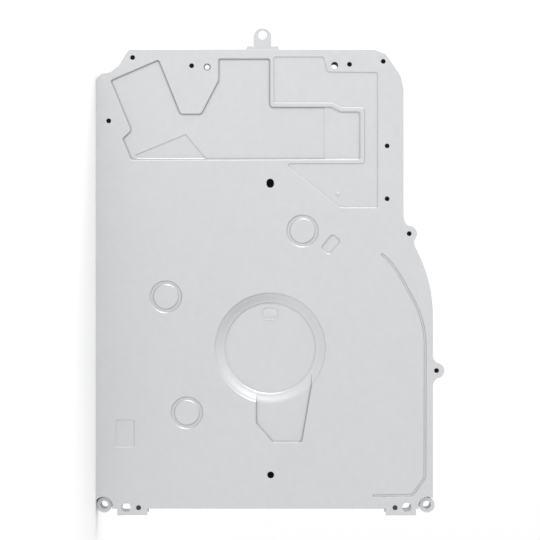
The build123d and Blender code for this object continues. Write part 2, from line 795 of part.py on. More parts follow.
# Insulating film between the underside cover and the board, showing as a border in each window
with BuildPart() as insulating_film:
    with BuildSketch(level(BAY_IN)):
        window_one(2.4)
    extrude(amount=FILM_T)
    with BuildSketch(level(BAY_IN)):
        window_two(2.4)
    extrude(amount=FILM_T)
    with BuildSketch(level(BAY_IN)):
        window_one(-FILM_EDGE)
        window_two(-FILM_EDGE)
        with Locations(*COVER_SCREWS):
            Circle(POST_R + SEAT)
    extrude(amount=FILM_T, mode=Mode.SUBTRACT)
insulating_film.part.label = "insulating_film"
export_step(insulating_film.part, "parts/insulating_film.step")

# Circuit board behind the two windows
with BuildPart() as circuit_board:
    with BuildSketch(level(BOARD_LOW)):
        with Locations((10.25, DEPTH - 38)):
            RectangleRounded(80.5, 59.0, 1.5)
        with Locations(*COVER_SCREWS):
            Circle(POST_R + SEAT, mode=Mode.SUBTRACT)
        with Locations(PASS_HOLE):
            Circle(PASS_R + 2.0, mode=Mode.SUBTRACT)
    extrude(amount=BOARD_T)
circuit_board.part.label = "circuit_board"
export_step(circuit_board.part, "parts/circuit_board.step")

# Chips and small parts on both faces of the board
SMALL_PARTS = [
    (35.2, DEPTH - 21.9, 2.2, 1.4),
    (36.2, DEPTH - 25.9, 1.6, 3.0),
    (35.4, DEPTH - 30.5, 2.0, 1.2),
    (32.4, DEPTH - 48.9, 1.4, 2.6),
    (32.6, DEPTH - 53.3, 1.6, 1.6),
    (32.4, DEPTH - 57.9, 1.4, 2.6),
    (39.0, DEPTH - 13.3, 5.2, 5.2),
]
with BuildPart() as board_chips:
    with BuildSketch(level(BOARD_LOW)):
        for u, v, wide, deep in SMALL_PARTS:
            with Locations((u, v)):
                Rectangle(wide, deep)
    extrude(amount=-0.6)
    with BuildSketch(level(BOARD_LOW)):
        with Locations((-6.0, DEPTH - 41.5)):
            Rectangle(17.0, 17.0)
        with Locations((-6.0, DEPTH - 19.5)):
            Rectangle(14.0, 9.0)
        with Locations((14.0, DEPTH - 51.5), (-22.0, DEPTH - 49.5)):
            Rectangle(5.0, 6.0)
    extrude(amount=-1.4)
board_chips.part.label = "board_chips"
export_step(board_chips.part, "parts/board_chips.step")

# Wire connector in the stepped window: a shell open to the underside with pins inside
PLUG_T = 1.9
with BuildPart() as wire_connector:
    with BuildSketch(level(BOARD_LOW)):
        with Locations((42.3, DEPTH - 26.2)):
            Rectangle(4.6, 12.4)
            with Locations((0, 5.2), (0, -5.2)):
                Rectangle(5.6, 2.0)
    extrude(amount=-PLUG_T)
    with BuildSketch(level(BOARD_LOW - PLUG_T)):
        with Locations((42.3, DEPTH - 26.2)):
            Rectangle(2.8, 9.4)
    extrude(amount=PLUG_T - 0.5, mode=Mode.SUBTRACT)
    with BuildSketch(level(BOARD_LOW - 0.5)):
        with Locations((42.3, DEPTH - 26.2)):
            with GridLocations(1.0, 2.0, 1, 4):
                Rectangle(0.5, 0.5)
    extrude(amount=-1.0)
wire_connector.part.label = "wire_connector"
export_step(wire_connector.part, "parts/wire_connector.step")

# Ribbon connector in the second window: body and dark locking bar
RIBBON_W = 6.2
RIBBON_LENGTH = 16.0
with BuildPart() as ribbon_connector:
    with BuildSketch(level(BOARD_LOW)):
        with Locations((39.2, DEPTH - 54)):
            Rectangle(RIBBON_W, RIBBON_LENGTH)
    extrude(amount=-1.3)
ribbon_connector.part.label = "ribbon_connector"
export_step(ribbon_connector.part, "parts/ribbon_connector.step")

with BuildPart() as ribbon_latch:
    with BuildSketch(level(BOARD_LOW)):
        with Locations((39.2 - RIBBON_W / 2 - 0.8, DEPTH - 54)):
            Rectangle(1.4, RIBBON_LENGTH)
    extrude(amount=-1.0)
ribbon_latch.part.label = "ribbon_latch"
export_step(ribbon_latch.part, "parts/ribbon_latch.step")

# Rubber dampers: bobbins gripping the floor of each mount recess
mount_floor = PAN_OUT + MOUNT_DEPTH
with BuildPart() as dampers:
    with BuildSketch(level(mount_floor - DAMPER_OUT)):
        with Locations(*MOUNTS):
            Circle(DAMPER_R)
    extrude(amount=DAMPER_OUT)
    with BuildSketch(level(mount_floor)):
        with Locations(*MOUNTS):
            Circle(DAMPER_WAIST)
    extrude(amount=SHEET)
    with BuildSketch(level(mount_floor + SHEET)):
        with Locations(*MOUNTS):
            Circle(DAMPER_R)
    extrude(amount=DAMPER_IN)
    with BuildSketch(level(mount_floor - DAMPER_OUT)):
        with Locations(*MOUNTS):
            Circle(DAMPER_BORE)
    extrude(amount=DAMPER_OUT + SHEET + DAMPER_IN, mode=Mode.SUBTRACT)
    with BuildSketch(level(mount_floor - DAMPER_OUT)):
        with Locations(*MOUNTS):
            Circle(5.6)
            Circle(4.4, mode=Mode.SUBTRACT)
    extrude(amount=0.5, mode=Mode.SUBTRACT)
dampers.part.label = "dampers"
export_step(dampers.part, "parts/dampers.step")

# Shoulder screws through the dampers into the pickup unit
with BuildPart() as mount_screws:
    with BuildSketch(level(mount_floor - DAMPER_OUT)):
        with Locations(*MOUNTS):
            Circle(MOUNT_HEAD_R)
    extrude(amount=-MOUNT_HEAD_T)
    with BuildSketch(level(mount_floor - DAMPER_OUT)):
        with Locations(*MOUNTS):
            Circle(MOUNT_SHANK)
    extrude(amount=UNIT_LOW - mount_floor + DAMPER_OUT)
    with BuildSketch(level(UNIT_LOW)):
        with Locations(*MOUNTS):
            Circle(SCREW_R)
    extrude(amount=UNIT_T)
    with BuildSketch(level(mount_floor - DAMPER_OUT - MOUNT_HEAD_T)):
        with Locations(*MOUNTS):
            Rectangle(3.4, 0.6)
            Rectangle(0.6, 3.4)
    extrude(amount=MOUNT_HEAD_T * 0.7, mode=Mode.SUBTRACT)
mount_screws.part.label = "mount_screws"
export_step(mount_screws.part, "parts/mount_screws.step")

# Pickup unit base: plate on the four dampers with the sled's window and rod holders
WINDOW_START = ROTOR_R + 0.2
WINDOW_END = SLED_START + SLED_LENGTH / 2 + SLED_TRAVEL + 0.5
mount_local = []
turn = radians(UNIT_ANGLE)
for u, v in MOUNTS:
    along = u * cos(turn) + (v - DISC_V) * sin(turn)
    aside = -u * sin(turn) + (v - DISC_V) * cos(turn)
    mount_local.append((along, aside))
with BuildPart() as unit_base:
    with BuildSketch(unit_level(UNIT_LOW)):
        with BuildLine():
            FilletPolyline(
                (-24.0, -20.0),
                (-10.0, -26.5),
                (44.0, -26.5),
                (67.0, -19.6),
                (67.0, 21.0),
                (50.0, 25.0),
                (-24.0, 25.0),
                radius=3.0,
                close=True,
            )
        make_face()
        with Locations(*mount_local):
            Circle(6.4)
        for along, aside in mount_local:
            root = (min(max(along, -18.0), 46.0), 20.0 if aside > 0 else -20.0)
            span = hypot(along - root[0], aside - root[1])
            if span > 1.0:
                middle = ((along + root[0]) / 2, (aside + root[1]) / 2)
                lean = degrees(atan2(aside - root[1], along - root[0]))
                with Locations(middle):
                    Rectangle(span, 9.0, rotation=lean)
        with Locations(((WINDOW_START + WINDOW_END) / 2, 0)):
            Rectangle(WINDOW_END - WINDOW_START, 2 * SLED_HALF + 1.2, mode=Mode.SUBTRACT)
        with Locations((WINDOW_START + 5.3, FEED_B)):
            Rectangle(10.6, 2 * FEED_MOTOR_R + 0.8, mode=Mode.SUBTRACT)
        with Locations(*mount_local):
            Circle(SCREW_R + FIT, mode=Mode.SUBTRACT)
    extrude(amount=UNIT_T)
    with BuildSketch(across_unit(WINDOW_END)):
        for side in (-1, 1):
            with Locations((side * ROD_B, (UNIT_HIGH + ROD_H) / 2 + 0.8)):
                Rectangle(4.4, ROD_H - UNIT_HIGH + 2.4)
            with Locations((side * ROD_B, ROD_H)):
                Circle(ROD_R + FIT, mode=Mode.SUBTRACT)
    extrude(amount=2.4)
unit_base.part.label = "unit_base"
export_step(unit_base.part, "parts/unit_base.step")

# Guide rods for the sled
with BuildPart() as guide_rods:
    with BuildSketch(across_unit(ROD_START)):
        with Locations((-ROD_B, ROD_H), (ROD_B, ROD_H)):
            Circle(ROD_R)
    extrude(amount=ROD_END - ROD_START)
guide_rods.part.label = "guide_rods"
export_step(guide_rods.part, "parts/guide_rods.step")

# Spindle motor's fixed half: base plate and bearing tube
with BuildPart() as spindle_base:
    with BuildSketch(unit_level(UNIT_HIGH)):
        with Locations((-2.0, 0)):
            RectangleRounded(27.0, 31.0, 2.0)
    extrude(amount=0.5)
    with BuildSketch(unit_level(UNIT_HIGH + 0.5)):
        Circle(2.6)
    extrude(amount=2.2)
    with BuildSketch(unit_level(UNIT_HIGH + 0.5)):
        Circle(8.6)
        Circle(4.4, mode=Mode.SUBTRACT)
        with PolarLocations(6.8, 9):
            Rectangle(5.0, 0.9, mode=Mode.SUBTRACT)
    extrude(amount=1.8)
    with BuildSketch(unit_level(UNIT_HIGH)):
        Circle(1.2)
    extrude(amount=3.0, mode=Mode.SUBTRACT)
spindle_base.part.label = "spindle_base"
export_step(spindle_base.part, "parts/spindle_base.step")

# Spindle rotor: cup, turntable and the hub that centres the disc
cup_low = UNIT_HIGH + 0.9
cup_high = PLAY_LOW - RING_T - TABLE_T
with BuildPart() as spindle_rotor:
    with BuildSketch(unit_level(cup_low)):
        Circle(ROTOR_R)
    extrude(amount=cup_high - cup_low)
    with BuildSketch(unit_level(cup_low)):
        Circle(ROTOR_R - 0.8)
    extrude(amount=cup_high - cup_low - 0.8, mode=Mode.SUBTRACT)
    with BuildSketch(unit_level(cup_high)):
        Circle(TABLE_R)
    extrude(amount=TABLE_T)
    with BuildSketch(unit_level(cup_high + TABLE_T)):
        Circle(HUB_R)
    extrude(amount=HUB_T, taper=22)
    with BuildSketch(unit_level(cup_high + TABLE_T + 0.8)):
        with PolarLocations(HUB_R - 0.4, 6):
            Rectangle(2.4, 1.6)
    extrude(amount=HUB_T, mode=Mode.SUBTRACT)
    with BuildSketch(unit_level(UNIT_HIGH + 0.2)):
        Circle(1.0)
    extrude(amount=cup_high - UNIT_HIGH - 0.2)
spindle_rotor.part.label = "spindle_rotor"
export_step(spindle_rotor.part, "parts/spindle_rotor.step")

# Rubber ring on which the disc rests
with BuildPart() as turntable_ring:
    with BuildSketch(unit_level(cup_high + TABLE_T)):
        Circle(TABLE_R - 0.4)
        Circle(TABLE_R - 3.4, mode=Mode.SUBTRACT)
    extrude(amount=RING_T)
turntable_ring.part.label = "turntable_ring"
export_step(turntable_ring.part, "parts/turntable_ring.step")

# Sled: pickup body on two rods, with bushings and an arm to the lead screw
sled_low = SLED_START - SLED_LENGTH / 2
with BuildPart() as sled_body:
    with BuildSketch(across_unit(sled_low)):
        with Locations((0, (SLED_LOW + SLED_HIGH) / 2)):
            Rectangle(2 * SLED_HALF - 6.0, SLED_HIGH - SLED_LOW)
        for side in (-1, 1):
            with Locations((side * (SLED_HALF - 2.6), ROD_H)):
                Rectangle(5.2, 2 * ROD_R + 1.6)
            with Locations((side * ROD_B, ROD_H)):
                Circle(ROD_R + FIT, mode=Mode.SUBTRACT)
    extrude(amount=SLED_LENGTH)
    with BuildSketch(unit_level(SLED_HIGH)):
        with Locations((SLED_START, 0)):
            RectangleRounded(12.0, 15.0, 1.0)
    extrude(amount=-1.6, mode=Mode.SUBTRACT)
    with BuildSketch(unit_level(SLED_LOW)):
        with Locations((SLED_START + 1.5, 6.0)):
            Rectangle(9.0, 10.0)
    extrude(amount=-1.6)
    with BuildSketch(across_unit(SLED_START + 3.0)):
        with Locations(((FEED_B - SLED_HALF) / 2, FEED_H)):
            Rectangle(-FEED_B - SLED_HALF + 4.2, 3.4)
        with Locations((FEED_B, FEED_H)):
            Circle(FEED_R + 0.08, mode=Mode.SUBTRACT)
        with Locations((-ROD_B, ROD_H)):
            Circle(ROD_R + FIT, mode=Mode.SUBTRACT)
    extrude(amount=3.0)
sled_body.part.label = "sled_body"
export_step(sled_body.part, "parts/sled_body.step")

# Lens holder with its coils, and the lens itself
with BuildPart() as lens_holder:
    with BuildSketch(unit_level(SLED_HIGH - 1.0)):
        with Locations((SLED_START, 0)):
            RectangleRounded(8.0, 9.0, 1.0)
            Circle(LENS_R + 0.0, mode=Mode.SUBTRACT)
    extrude(amount=LENS_H - SLED_HIGH + 0.4)
lens_holder.part.label = "lens_holder"
export_step(lens_holder.part, "parts/lens_holder.step")

with BuildPart() as lens:
    with BuildSketch(unit_level(SLED_HIGH - 0.6)):
        with Locations((SLED_START, 0)):
            Circle(LENS_R)
    extrude(amount=LENS_H - SLED_HIGH + 0.2)
lens.part.label = "lens"
export_step(lens.part, "parts/lens.step")

# Feed motor and its lead screw
feed_start = WINDOW_START + 0.6
with BuildPart() as feed_motor:
    with BuildSketch(across_unit(feed_start)):
        with Locations((FEED_B, FEED_H)):
            Circle(FEED_MOTOR_R)
    extrude(amount=FEED_MOTOR_LENGTH)
    with BuildSketch(across_unit(feed_start + FEED_MOTOR_LENGTH - 0.8)):
        with Locations((FEED_B - 2.6, UNIT_HIGH + 1.6)):
            Rectangle(8.0, 3.2)
        with Locations((FEED_B - 6.0, UNIT_HIGH + 1.6)):
            Rectangle(2.0, 3.2)
    extrude(amount=0.8)
    with BuildSketch(across_unit(feed_start)):
        with Locations((FEED_B, FEED_H)):
            Circle(FEED_R + FIT)
    extrude(amount=FEED_MOTOR_LENGTH, mode=Mode.SUBTRACT)
feed_motor.part.label = "feed_motor"
export_step(feed_motor.part, "parts/feed_motor.step")

with BuildPart() as lead_screw:
    with BuildSketch(across_unit(feed_start + 0.4)):
        with Locations((FEED_B, FEED_H)):
            Circle(FEED_R)
    extrude(amount=WINDOW_END - 1.0 - feed_start)
lead_screw.part.label = "lead_screw"
export_step(lead_screw.part, "parts/lead_screw.step")

# Clamp arm: pressed plate hinged at the rear, carrying the clamper and a finger for the slide
arm_low = CLAMP_H - CLAMP_T / 2
finger_u = SLIDE_U - 2.6
with BuildPart() as clamp_arm:
    with BuildSketch(level(arm_low)):
        with Locations((0, DISC_V)):
            Circle(17.0)
        with Locations((0, (DISC_V + CLAMP_PIVOT_V) / 2)):
            Rectangle(22.0, CLAMP_PIVOT_V - DISC_V)
        with Locations(((finger_u + 0.8) / 2, FOLLOW_V)):
            Rectangle(finger_u + 0.8, 7.0)
        with Locations((0, (DISC_V + CLAMP_PIVOT_V) / 2 + 8.0)):
            SlotOverall(30.0, 9.0, rotation=90, mode=Mode.SUBTRACT)
        with Locations((0, DISC_V)):
            Circle(CLAMPER_HOLE, mode=Mode.SUBTRACT)
    extrude(amount=CLAMP_T)
    with BuildSketch(upright(finger_u)):
        with Locations((FOLLOW_V, (arm_low + CLAMP_T + FOLLOW_H - 1.4) / 2)):
            Rectangle(5.0, arm_low + CLAMP_T - FOLLOW_H + 1.4)
    extrude(amount=0.8)
    with BuildSketch(upright(finger_u)):
        with Locations((FOLLOW_V, FOLLOW_H)):
            Circle(FOLLOW_R)
    extrude(amount=2.6 + SLIDE_W)
    with BuildSketch(upright(-PIVOT_HALF + 2.0)):
        with Locations((CLAMP_PIVOT_V, CLAMP_H)):
            Circle(PIVOT_R + 0.5)
    extrude(amount=2 * PIVOT_HALF - 4.0)
    with BuildSketch(upright(-PIVOT_HALF + 2.0)):
        with Locations((CLAMP_PIVOT_V, CLAMP_H)):
            Circle(PIVOT_R + FIT)
    extrude(amount=2 * PIVOT_HALF - 4.0, mode=Mode.SUBTRACT)
clamp_arm.part.label = "clamp_arm"
export_step(clamp_arm.part, "parts/clamp_arm.step")

# Hinge bracket under the label-side cover, with its pin
with BuildPart() as clamp_hinge:
    for side in (-1, 1):
        with BuildSketch(level(CLAMP_H - 1.6)):
            with Locations((side * (PIVOT_HALF + 1.2), CLAMP_PIVOT_V)):
                Rectangle(2.4, 4.0)
        extrude(amount=TOP_IN - CLAMP_H + 1.6)
    with BuildSketch(upright(-PIVOT_HALF - 2.4)):
        with Locations((CLAMP_PIVOT_V, CLAMP_H)):
            Circle(PIVOT_R)
    extrude(amount=2 * PIVOT_HALF + 4.8)
clamp_hinge.part.label = "clamp_hinge"
export_step(clamp_hinge.part, "parts/clamp_hinge.step")

# Clamper: puck that turns with the disc, hung in the arm by its neck
with BuildPart() as clamper:
    with BuildSketch(level(arm_low - 0.8)):
        with Locations((0, DISC_V)):
            Circle(CLAMPER_R)
    extrude(amount=0.7)
    with BuildSketch(level(arm_low - 0.8)):
        with Locations((0, DISC_V)):
            Circle(CLAMPER_NECK)
    extrude(amount=0.8 + CLAMP_T + 0.1)
    with BuildSketch(level(arm_low + CLAMP_T + 0.1)):
        with Locations((0, DISC_V)):
            Circle(CLAMPER_CAP)
    extrude(amount=0.3)
    with BuildSketch(level(arm_low - 0.8)):
        with Locations((0, DISC_V)):
            Circle(CLAMPER_NECK - 1.2)
            Circle(1.6, mode=Mode.SUBTRACT)
    extrude(amount=1.4, mode=Mode.SUBTRACT)
clamper.part.label = "clamper"
export_step(clamper.part, "parts/clamper.step")

# Feed roller: rubber in two tapers so that only the disc's edge is touched, on a steel shaft
roller_centre = (ROLLER_V, roller_h)
roller_plane = Plane(
    origin=upright(0).from_local_coords(Vector(ROLLER_V, roller_h, 0)),
    x_dir=(0, 1, 0),
    z_dir=(1, 0, 0),
)
with BuildPart() as feed_roller:
    with BuildSketch(roller_plane):
        Polygon(
            (SHAFT_R, -ROLLER_HALF),
            (ROLLER_R, -ROLLER_HALF),
            (ROLLER_WAIST, 0),
            (ROLLER_R, ROLLER_HALF),
            (SHAFT_R, ROLLER_HALF),
            align=None,
        )
    revolve(axis=Axis(roller_plane.origin, (0, 0, 1)))
feed_roller.part.label = "feed_roller"
export_step(feed_roller.part, "parts/feed_roller.step")

with BuildPart() as roller_shaft:
    with BuildSketch(upright(GEAR_U)):
        with Locations(roller_centre):
            Circle(SHAFT_R)
    extrude(amount=ROLLER_HALF + 5.7 - GEAR_U)
roller_shaft.part.label = "roller_shaft"
export_step(roller_shaft.part, "parts/roller_shaft.step")

with BuildPart() as roller_gear:
    with BuildSketch(upright(GEAR_U)):
        with Locations(roller_centre):
            gear_profile(ROLLER_TEETH, MODULE, roller_phase)
            Circle(SHAFT_R, mode=Mode.SUBTRACT)
    extrude(amount=GEAR_W)
roller_gear.part.label = "roller_gear"
export_step(roller_gear.part, "parts/roller_gear.step")

# Roller bearings: two blocks that carry the shaft behind the slot frame
with BuildPart() as roller_bearings:
    for start in (-ROLLER_HALF - 5.3, ROLLER_HALF + 2.3):
        with BuildSketch(upright(start)):
            with Locations((ROLLER_V, (PAN_IN + roller_h + 2.4) / 2)):
                Rectangle(6.0, roller_h + 2.4 - PAN_IN)
            with Locations(roller_centre):
                Circle(SHAFT_R + FIT, mode=Mode.SUBTRACT)
        extrude(amount=2.2)
roller_bearings.part.label = "roller_bearings"
export_step(roller_bearings.part, "parts/roller_bearings.step")

# Idler gears of the loading drive, one after another towards the motor
for n in range(IDLER_COUNT):
    with BuildPart() as idler:
        with BuildSketch(upright(GEAR_U)):
            with Locations((idler_v[n], IDLER_H)):
                gear_profile(IDLER_TEETH, MODULE, idler_phase[n])
                Circle(SHAFT_R + FIT, mode=Mode.SUBTRACT)
        extrude(amount=GEAR_W)
    idler.part.label = f"idler_gear_{n + 1}"
    export_step(idler.part, f"parts/idler_gear_{n + 1}.step")

# Worm wheel with the pinion that drives the idlers
wheel_u = GEAR_U + GEAR_W
with BuildPart() as worm_wheel:
    with BuildSketch(upright(GEAR_U)):
        with Locations((wheel_v, wheel_h)):
            gear_profile(PINION_TEETH, MODULE, pinion_phase)
    extrude(amount=GEAR_W)
    with BuildSketch(upright(wheel_u)):
        with Locations((wheel_v, wheel_h)):
            gear_profile(WORM_TEETH, WORM_MODULE, 0)
    extrude(amount=GEAR_W)
    with BuildSketch(upright(GEAR_U)):
        with Locations((wheel_v, wheel_h)):
            Circle(SHAFT_R + FIT)
    extrude(amount=2 * GEAR_W, mode=Mode.SUBTRACT)
worm_wheel.part.label = "worm_wheel"
export_step(worm_wheel.part, "parts/worm_wheel.step")

# Gear bracket: foot on the pan and the upright that carries the gear pins
with BuildPart() as gear_bracket:
    with BuildSketch(upright(wheel_u + GEAR_W + 0.3)):
        with Locations(((idler_v[0] + wheel_v) / 2, (PAN_IN + 2.0) / 2)):
            Rectangle(wheel_v - idler_v[0] + 8.0, 2.0 - PAN_IN)
    extrude(amount=1.0)
    with BuildSketch(upright(GEAR_U - 0.4)):
        with Locations(*[(v, IDLER_H) for v in idler_v], (wheel_v, wheel_h)):
            Circle(SHAFT_R)
    extrude(amount=2 * GEAR_W + 1.7)
gear_bracket.part.label = "gear_bracket"
export_step(gear_bracket.part, "parts/gear_bracket.step")

# Loading motor and the worm on its shaft
worm_u = wheel_u + WORM_R + 0.1
motor_plane = Plane(
    origin=upright(worm_u).from_local_coords(Vector(motor_v, WORM_H, 0)),
    x_dir=(0, 0, 1),
    z_dir=(0, 1, 0),
)
with BuildPart() as loading_motor:
    with BuildSketch(motor_plane):
        Circle(MOTOR_R)
        Rectangle(2 * MOTOR_R, 2 * MOTOR_R - 2.0, mode=Mode.INTERSECT)
    extrude(amount=MOTOR_LENGTH)
    with BuildSketch(motor_plane):
        Circle(2.0)
    extrude(amount=-0.8)
    with BuildSketch(motor_plane):
        Circle(0.8)
    extrude(amount=MOTOR_LENGTH, mode=Mode.SUBTRACT)
    with BuildSketch(motor_plane):
        Circle(0.8)
    extrude(amount=-0.8, mode=Mode.SUBTRACT)
loading_motor.part.label = "loading_motor"
export_step(loading_motor.part, "parts/loading_motor.step")

with BuildPart() as worm:
    with BuildSketch(motor_plane.offset(-1.5)):
        Circle(WORM_R)
    extrude(amount=-WORM_LENGTH)
    with BuildSketch(motor_plane.offset(-1.5)):
        Circle(0.75)
    extrude(amount=6.0)
worm.part.label = "worm"
export_step(worm.part, "parts/worm.step")

# Cam slide: foot with two long slots and a wall with the sloping track for the clamp arm's finger
SLIDE_LOW = -4.0
SLIDE_T = 1.2
SLIDE_V = 30.0
SLIDE_LENGTH = 60.0
drop = (CLAMP_PIVOT_V - FOLLOW_V) * sin(radians(degrees(CLAMP_DROP / (CLAMP_PIVOT_V - DISC_V))))
track_lean = degrees(atan2(drop, SLIDE_TRAVEL))
with BuildPart() as cam_slide:
    with BuildSketch(level(SLIDE_LOW)):
        with Locations((SLIDE_U - 0.7, SLIDE_V + SLIDE_LENGTH / 2)):
            Rectangle(2 * SLIDE_W + 1.4, SLIDE_LENGTH)
        for v in (38.0, 68.0):
            with Locations((SLIDE_U - 1.4, v + SLIDE_TRAVEL / 2 - 2.0)):
                SlotOverall(SLIDE_TRAVEL + 3.6, 2.2, rotation=90, mode=Mode.SUBTRACT)
    extrude(amount=SLIDE_T)
    with BuildSketch(upright(SLIDE_U)):
        with Locations((SLIDE_V + SLIDE_LENGTH / 2 + 12.0, (SLIDE_LOW + 6.4) / 2)):
            Rectangle(SLIDE_LENGTH - 24.0, 6.4 - SLIDE_LOW)
        with Locations((FOLLOW_V - SLIDE_TRAVEL / 2, FOLLOW_H - drop / 2)):
            SlotOverall(
                hypot(SLIDE_TRAVEL, drop) + 2 * (FOLLOW_R + FOLLOW_PLAY) + 1.0,
                2 * (FOLLOW_R + FOLLOW_PLAY),
                rotation=track_lean,
                mode=Mode.SUBTRACT,
            )
    extrude(amount=SLIDE_W)
cam_slide.part.label = "cam_slide"
export_step(cam_slide.part, "parts/cam_slide.step")

# Guide under the slide, with two headed pins in its slots
with BuildPart() as slide_guide:
    with BuildSketch(level(PAN_IN)):
        with Locations((SLIDE_U - 1.0, SLIDE_V + SLIDE_LENGTH / 2 - 2.0)):
            Rectangle(3.4, SLIDE_LENGTH - 16.0)
    extrude(amount=SLIDE_LOW - 0.1 - PAN_IN)
    with BuildSketch(level(SLIDE_LOW - 0.1)):
        pin_shift = SLIDE_TRAVEL - 1.6
        with Locations((SLIDE_U - 1.4, 38.0 + pin_shift), (SLIDE_U - 1.4, 68.0 + pin_shift)):
            Circle(0.9)
    extrude(amount=SLIDE_T + 0.9)
slide_guide.part.label = "slide_guide"
export_step(slide_guide.part, "parts/slide_guide.step")

# Levers that feel the disc's edge, one on each side, hung from the label-side cover
for name, side in (("lever_high", 1), ("lever_low", -1)):
    reach_u = LEVER_TIP_U - LEVER_U
    reach_v = LEVER_TIP_V - LEVER_V
    span = hypot(reach_u, reach_v)
    lean = degrees(atan2(reach_v, side * reach_u))
    with BuildPart() as lever:
        with BuildSketch(level(arm_low)):
            with Locations((side * LEVER_U, LEVER_V)):
                Circle(3.6)
            with Locations((side * LEVER_TIP_U, LEVER_TIP_V)):
                Circle(2.0)
            with Locations((side * (LEVER_U + LEVER_TIP_U) / 2, (LEVER_V + LEVER_TIP_V) / 2)):
                Rectangle(span, 3.0, rotation=lean)
            with Locations((side * LEVER_U, LEVER_V)):
                Circle(LEVER_BORE, mode=Mode.SUBTRACT)
        extrude(amount=LEVER_T)
        with BuildSketch(level(SLOT_LOW)):
            with Locations((side * LEVER_TIP_U, LEVER_TIP_V)):
                Circle(LEVER_PIN_R)
        extrude(amount=arm_low - SLOT_LOW)
    lever.part.label = name
    export_step(lever.part, f"parts/{name}.step")

# Pivots of the two levers, riveted to the label-side cover
with BuildPart() as lever_pivots:
    with BuildSketch(level(arm_low - 0.7)):
        with Locations((LEVER_U, LEVER_V), (-LEVER_U, LEVER_V)):
            Circle(2.4)
    extrude(amount=0.6)
    with BuildSketch(level(arm_low - 0.7)):
        with Locations((LEVER_U, LEVER_V)):
            Circle(LEVER_BORE - FIT)
    extrude(amount=TOP_IN - EMBOSS - arm_low + 0.7)
    with BuildSketch(level(arm_low - 0.7)):
        with Locations((-LEVER_U, LEVER_V)):
            Circle(LEVER_BORE - FIT)
    extrude(amount=TOP_IN - arm_low + 0.7)
lever_pivots.part.label = "lever_pivots"
export_step(lever_pivots.part, "parts/lever_pivots.step")
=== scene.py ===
"""Slot-loading optical drive of a game console: finishes, fine pieces, stage and camera."""

import json
import math
import random

import bpy
from bpy.props import FloatProperty, FloatVectorProperty, PointerProperty
from mathutils import Matrix, Vector

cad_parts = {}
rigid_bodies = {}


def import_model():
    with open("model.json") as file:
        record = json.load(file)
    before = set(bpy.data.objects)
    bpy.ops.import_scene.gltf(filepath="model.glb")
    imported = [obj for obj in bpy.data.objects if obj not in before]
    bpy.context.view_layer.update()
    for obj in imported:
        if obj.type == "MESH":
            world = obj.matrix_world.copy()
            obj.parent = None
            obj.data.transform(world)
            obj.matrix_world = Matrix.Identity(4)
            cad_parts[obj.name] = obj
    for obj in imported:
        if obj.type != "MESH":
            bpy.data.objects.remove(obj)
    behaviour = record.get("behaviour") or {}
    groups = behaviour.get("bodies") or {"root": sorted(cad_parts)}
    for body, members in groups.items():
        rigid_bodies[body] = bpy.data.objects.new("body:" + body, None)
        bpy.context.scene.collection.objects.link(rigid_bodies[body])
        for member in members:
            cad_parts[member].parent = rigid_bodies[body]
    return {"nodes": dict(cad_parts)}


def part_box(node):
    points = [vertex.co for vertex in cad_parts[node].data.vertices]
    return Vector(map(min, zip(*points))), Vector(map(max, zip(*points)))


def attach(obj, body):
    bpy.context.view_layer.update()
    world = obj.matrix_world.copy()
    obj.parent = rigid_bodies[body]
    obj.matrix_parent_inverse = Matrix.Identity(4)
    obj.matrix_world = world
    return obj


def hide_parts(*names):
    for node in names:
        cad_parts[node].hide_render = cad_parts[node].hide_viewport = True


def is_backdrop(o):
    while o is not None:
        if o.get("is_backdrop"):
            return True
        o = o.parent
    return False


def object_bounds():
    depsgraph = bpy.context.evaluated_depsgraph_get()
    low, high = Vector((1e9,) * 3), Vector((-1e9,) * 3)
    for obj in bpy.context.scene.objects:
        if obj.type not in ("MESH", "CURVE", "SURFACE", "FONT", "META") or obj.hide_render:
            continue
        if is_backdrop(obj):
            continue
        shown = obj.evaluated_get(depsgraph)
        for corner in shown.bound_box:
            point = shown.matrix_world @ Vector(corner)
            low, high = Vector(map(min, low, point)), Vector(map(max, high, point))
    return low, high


bl_info = {
    "name": "Console optical drive",
    "version": (1, 0, 0),
    "blender": (4, 5, 0),
    "location": "View3D > Sidebar > Drive",
    "description": "Finishes and fine pieces of a slot-loading optical drive",
    "category": "Object",
}

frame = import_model()

MM = 0.001
QUARTER_TURN = math.pi / 2

# A pattern is built facing +z, then turned to face out of one side of the drive
TO_UNDERSIDE = Matrix.Rotation(QUARTER_TURN, 4, "Y")
TO_LABEL = Matrix.Rotation(-QUARTER_TURN, 4, "Y")

# The drive's own axes in mm: u up the drive, v from the slot to the rear, h to the label side.
# The frame's origin lies on them at the first three values; names with OUT are outer faces, as an h
ORIGIN_U = -76.6
ORIGIN_V = 104.75
ORIGIN_H = 0.7
DISC_V = 70.4
TOP_OUT = 9.8
RIM_OUT = -5.4
BAY_OUT = -4.6
PAN_OUT = -8.4
BOARD_LOW = -3.4
CHASSIS_SEAT = TOP_OUT - 4.0
UNIT_ANGLE = math.radians(-148.0)


def mm(*values):
    """Lengths given in mm, in Blender's metres."""
    return tuple(value * MM for value in values)


def at(u, v, h):
    """Place in the frame of a point of the drive."""
    return Vector((ORIGIN_H - h, v - ORIGIN_V, u - ORIGIN_U)) * MM


def in_unit(along, aside, h):
    """Place of a point of the pickup unit, along the sled's way from the spindle and beside it."""
    cosine = math.cos(UNIT_ANGLE)
    sine = math.sin(UNIT_ANGLE)
    return at(along * cosine - aside * sine, DISC_V + along * sine + aside * cosine, h)


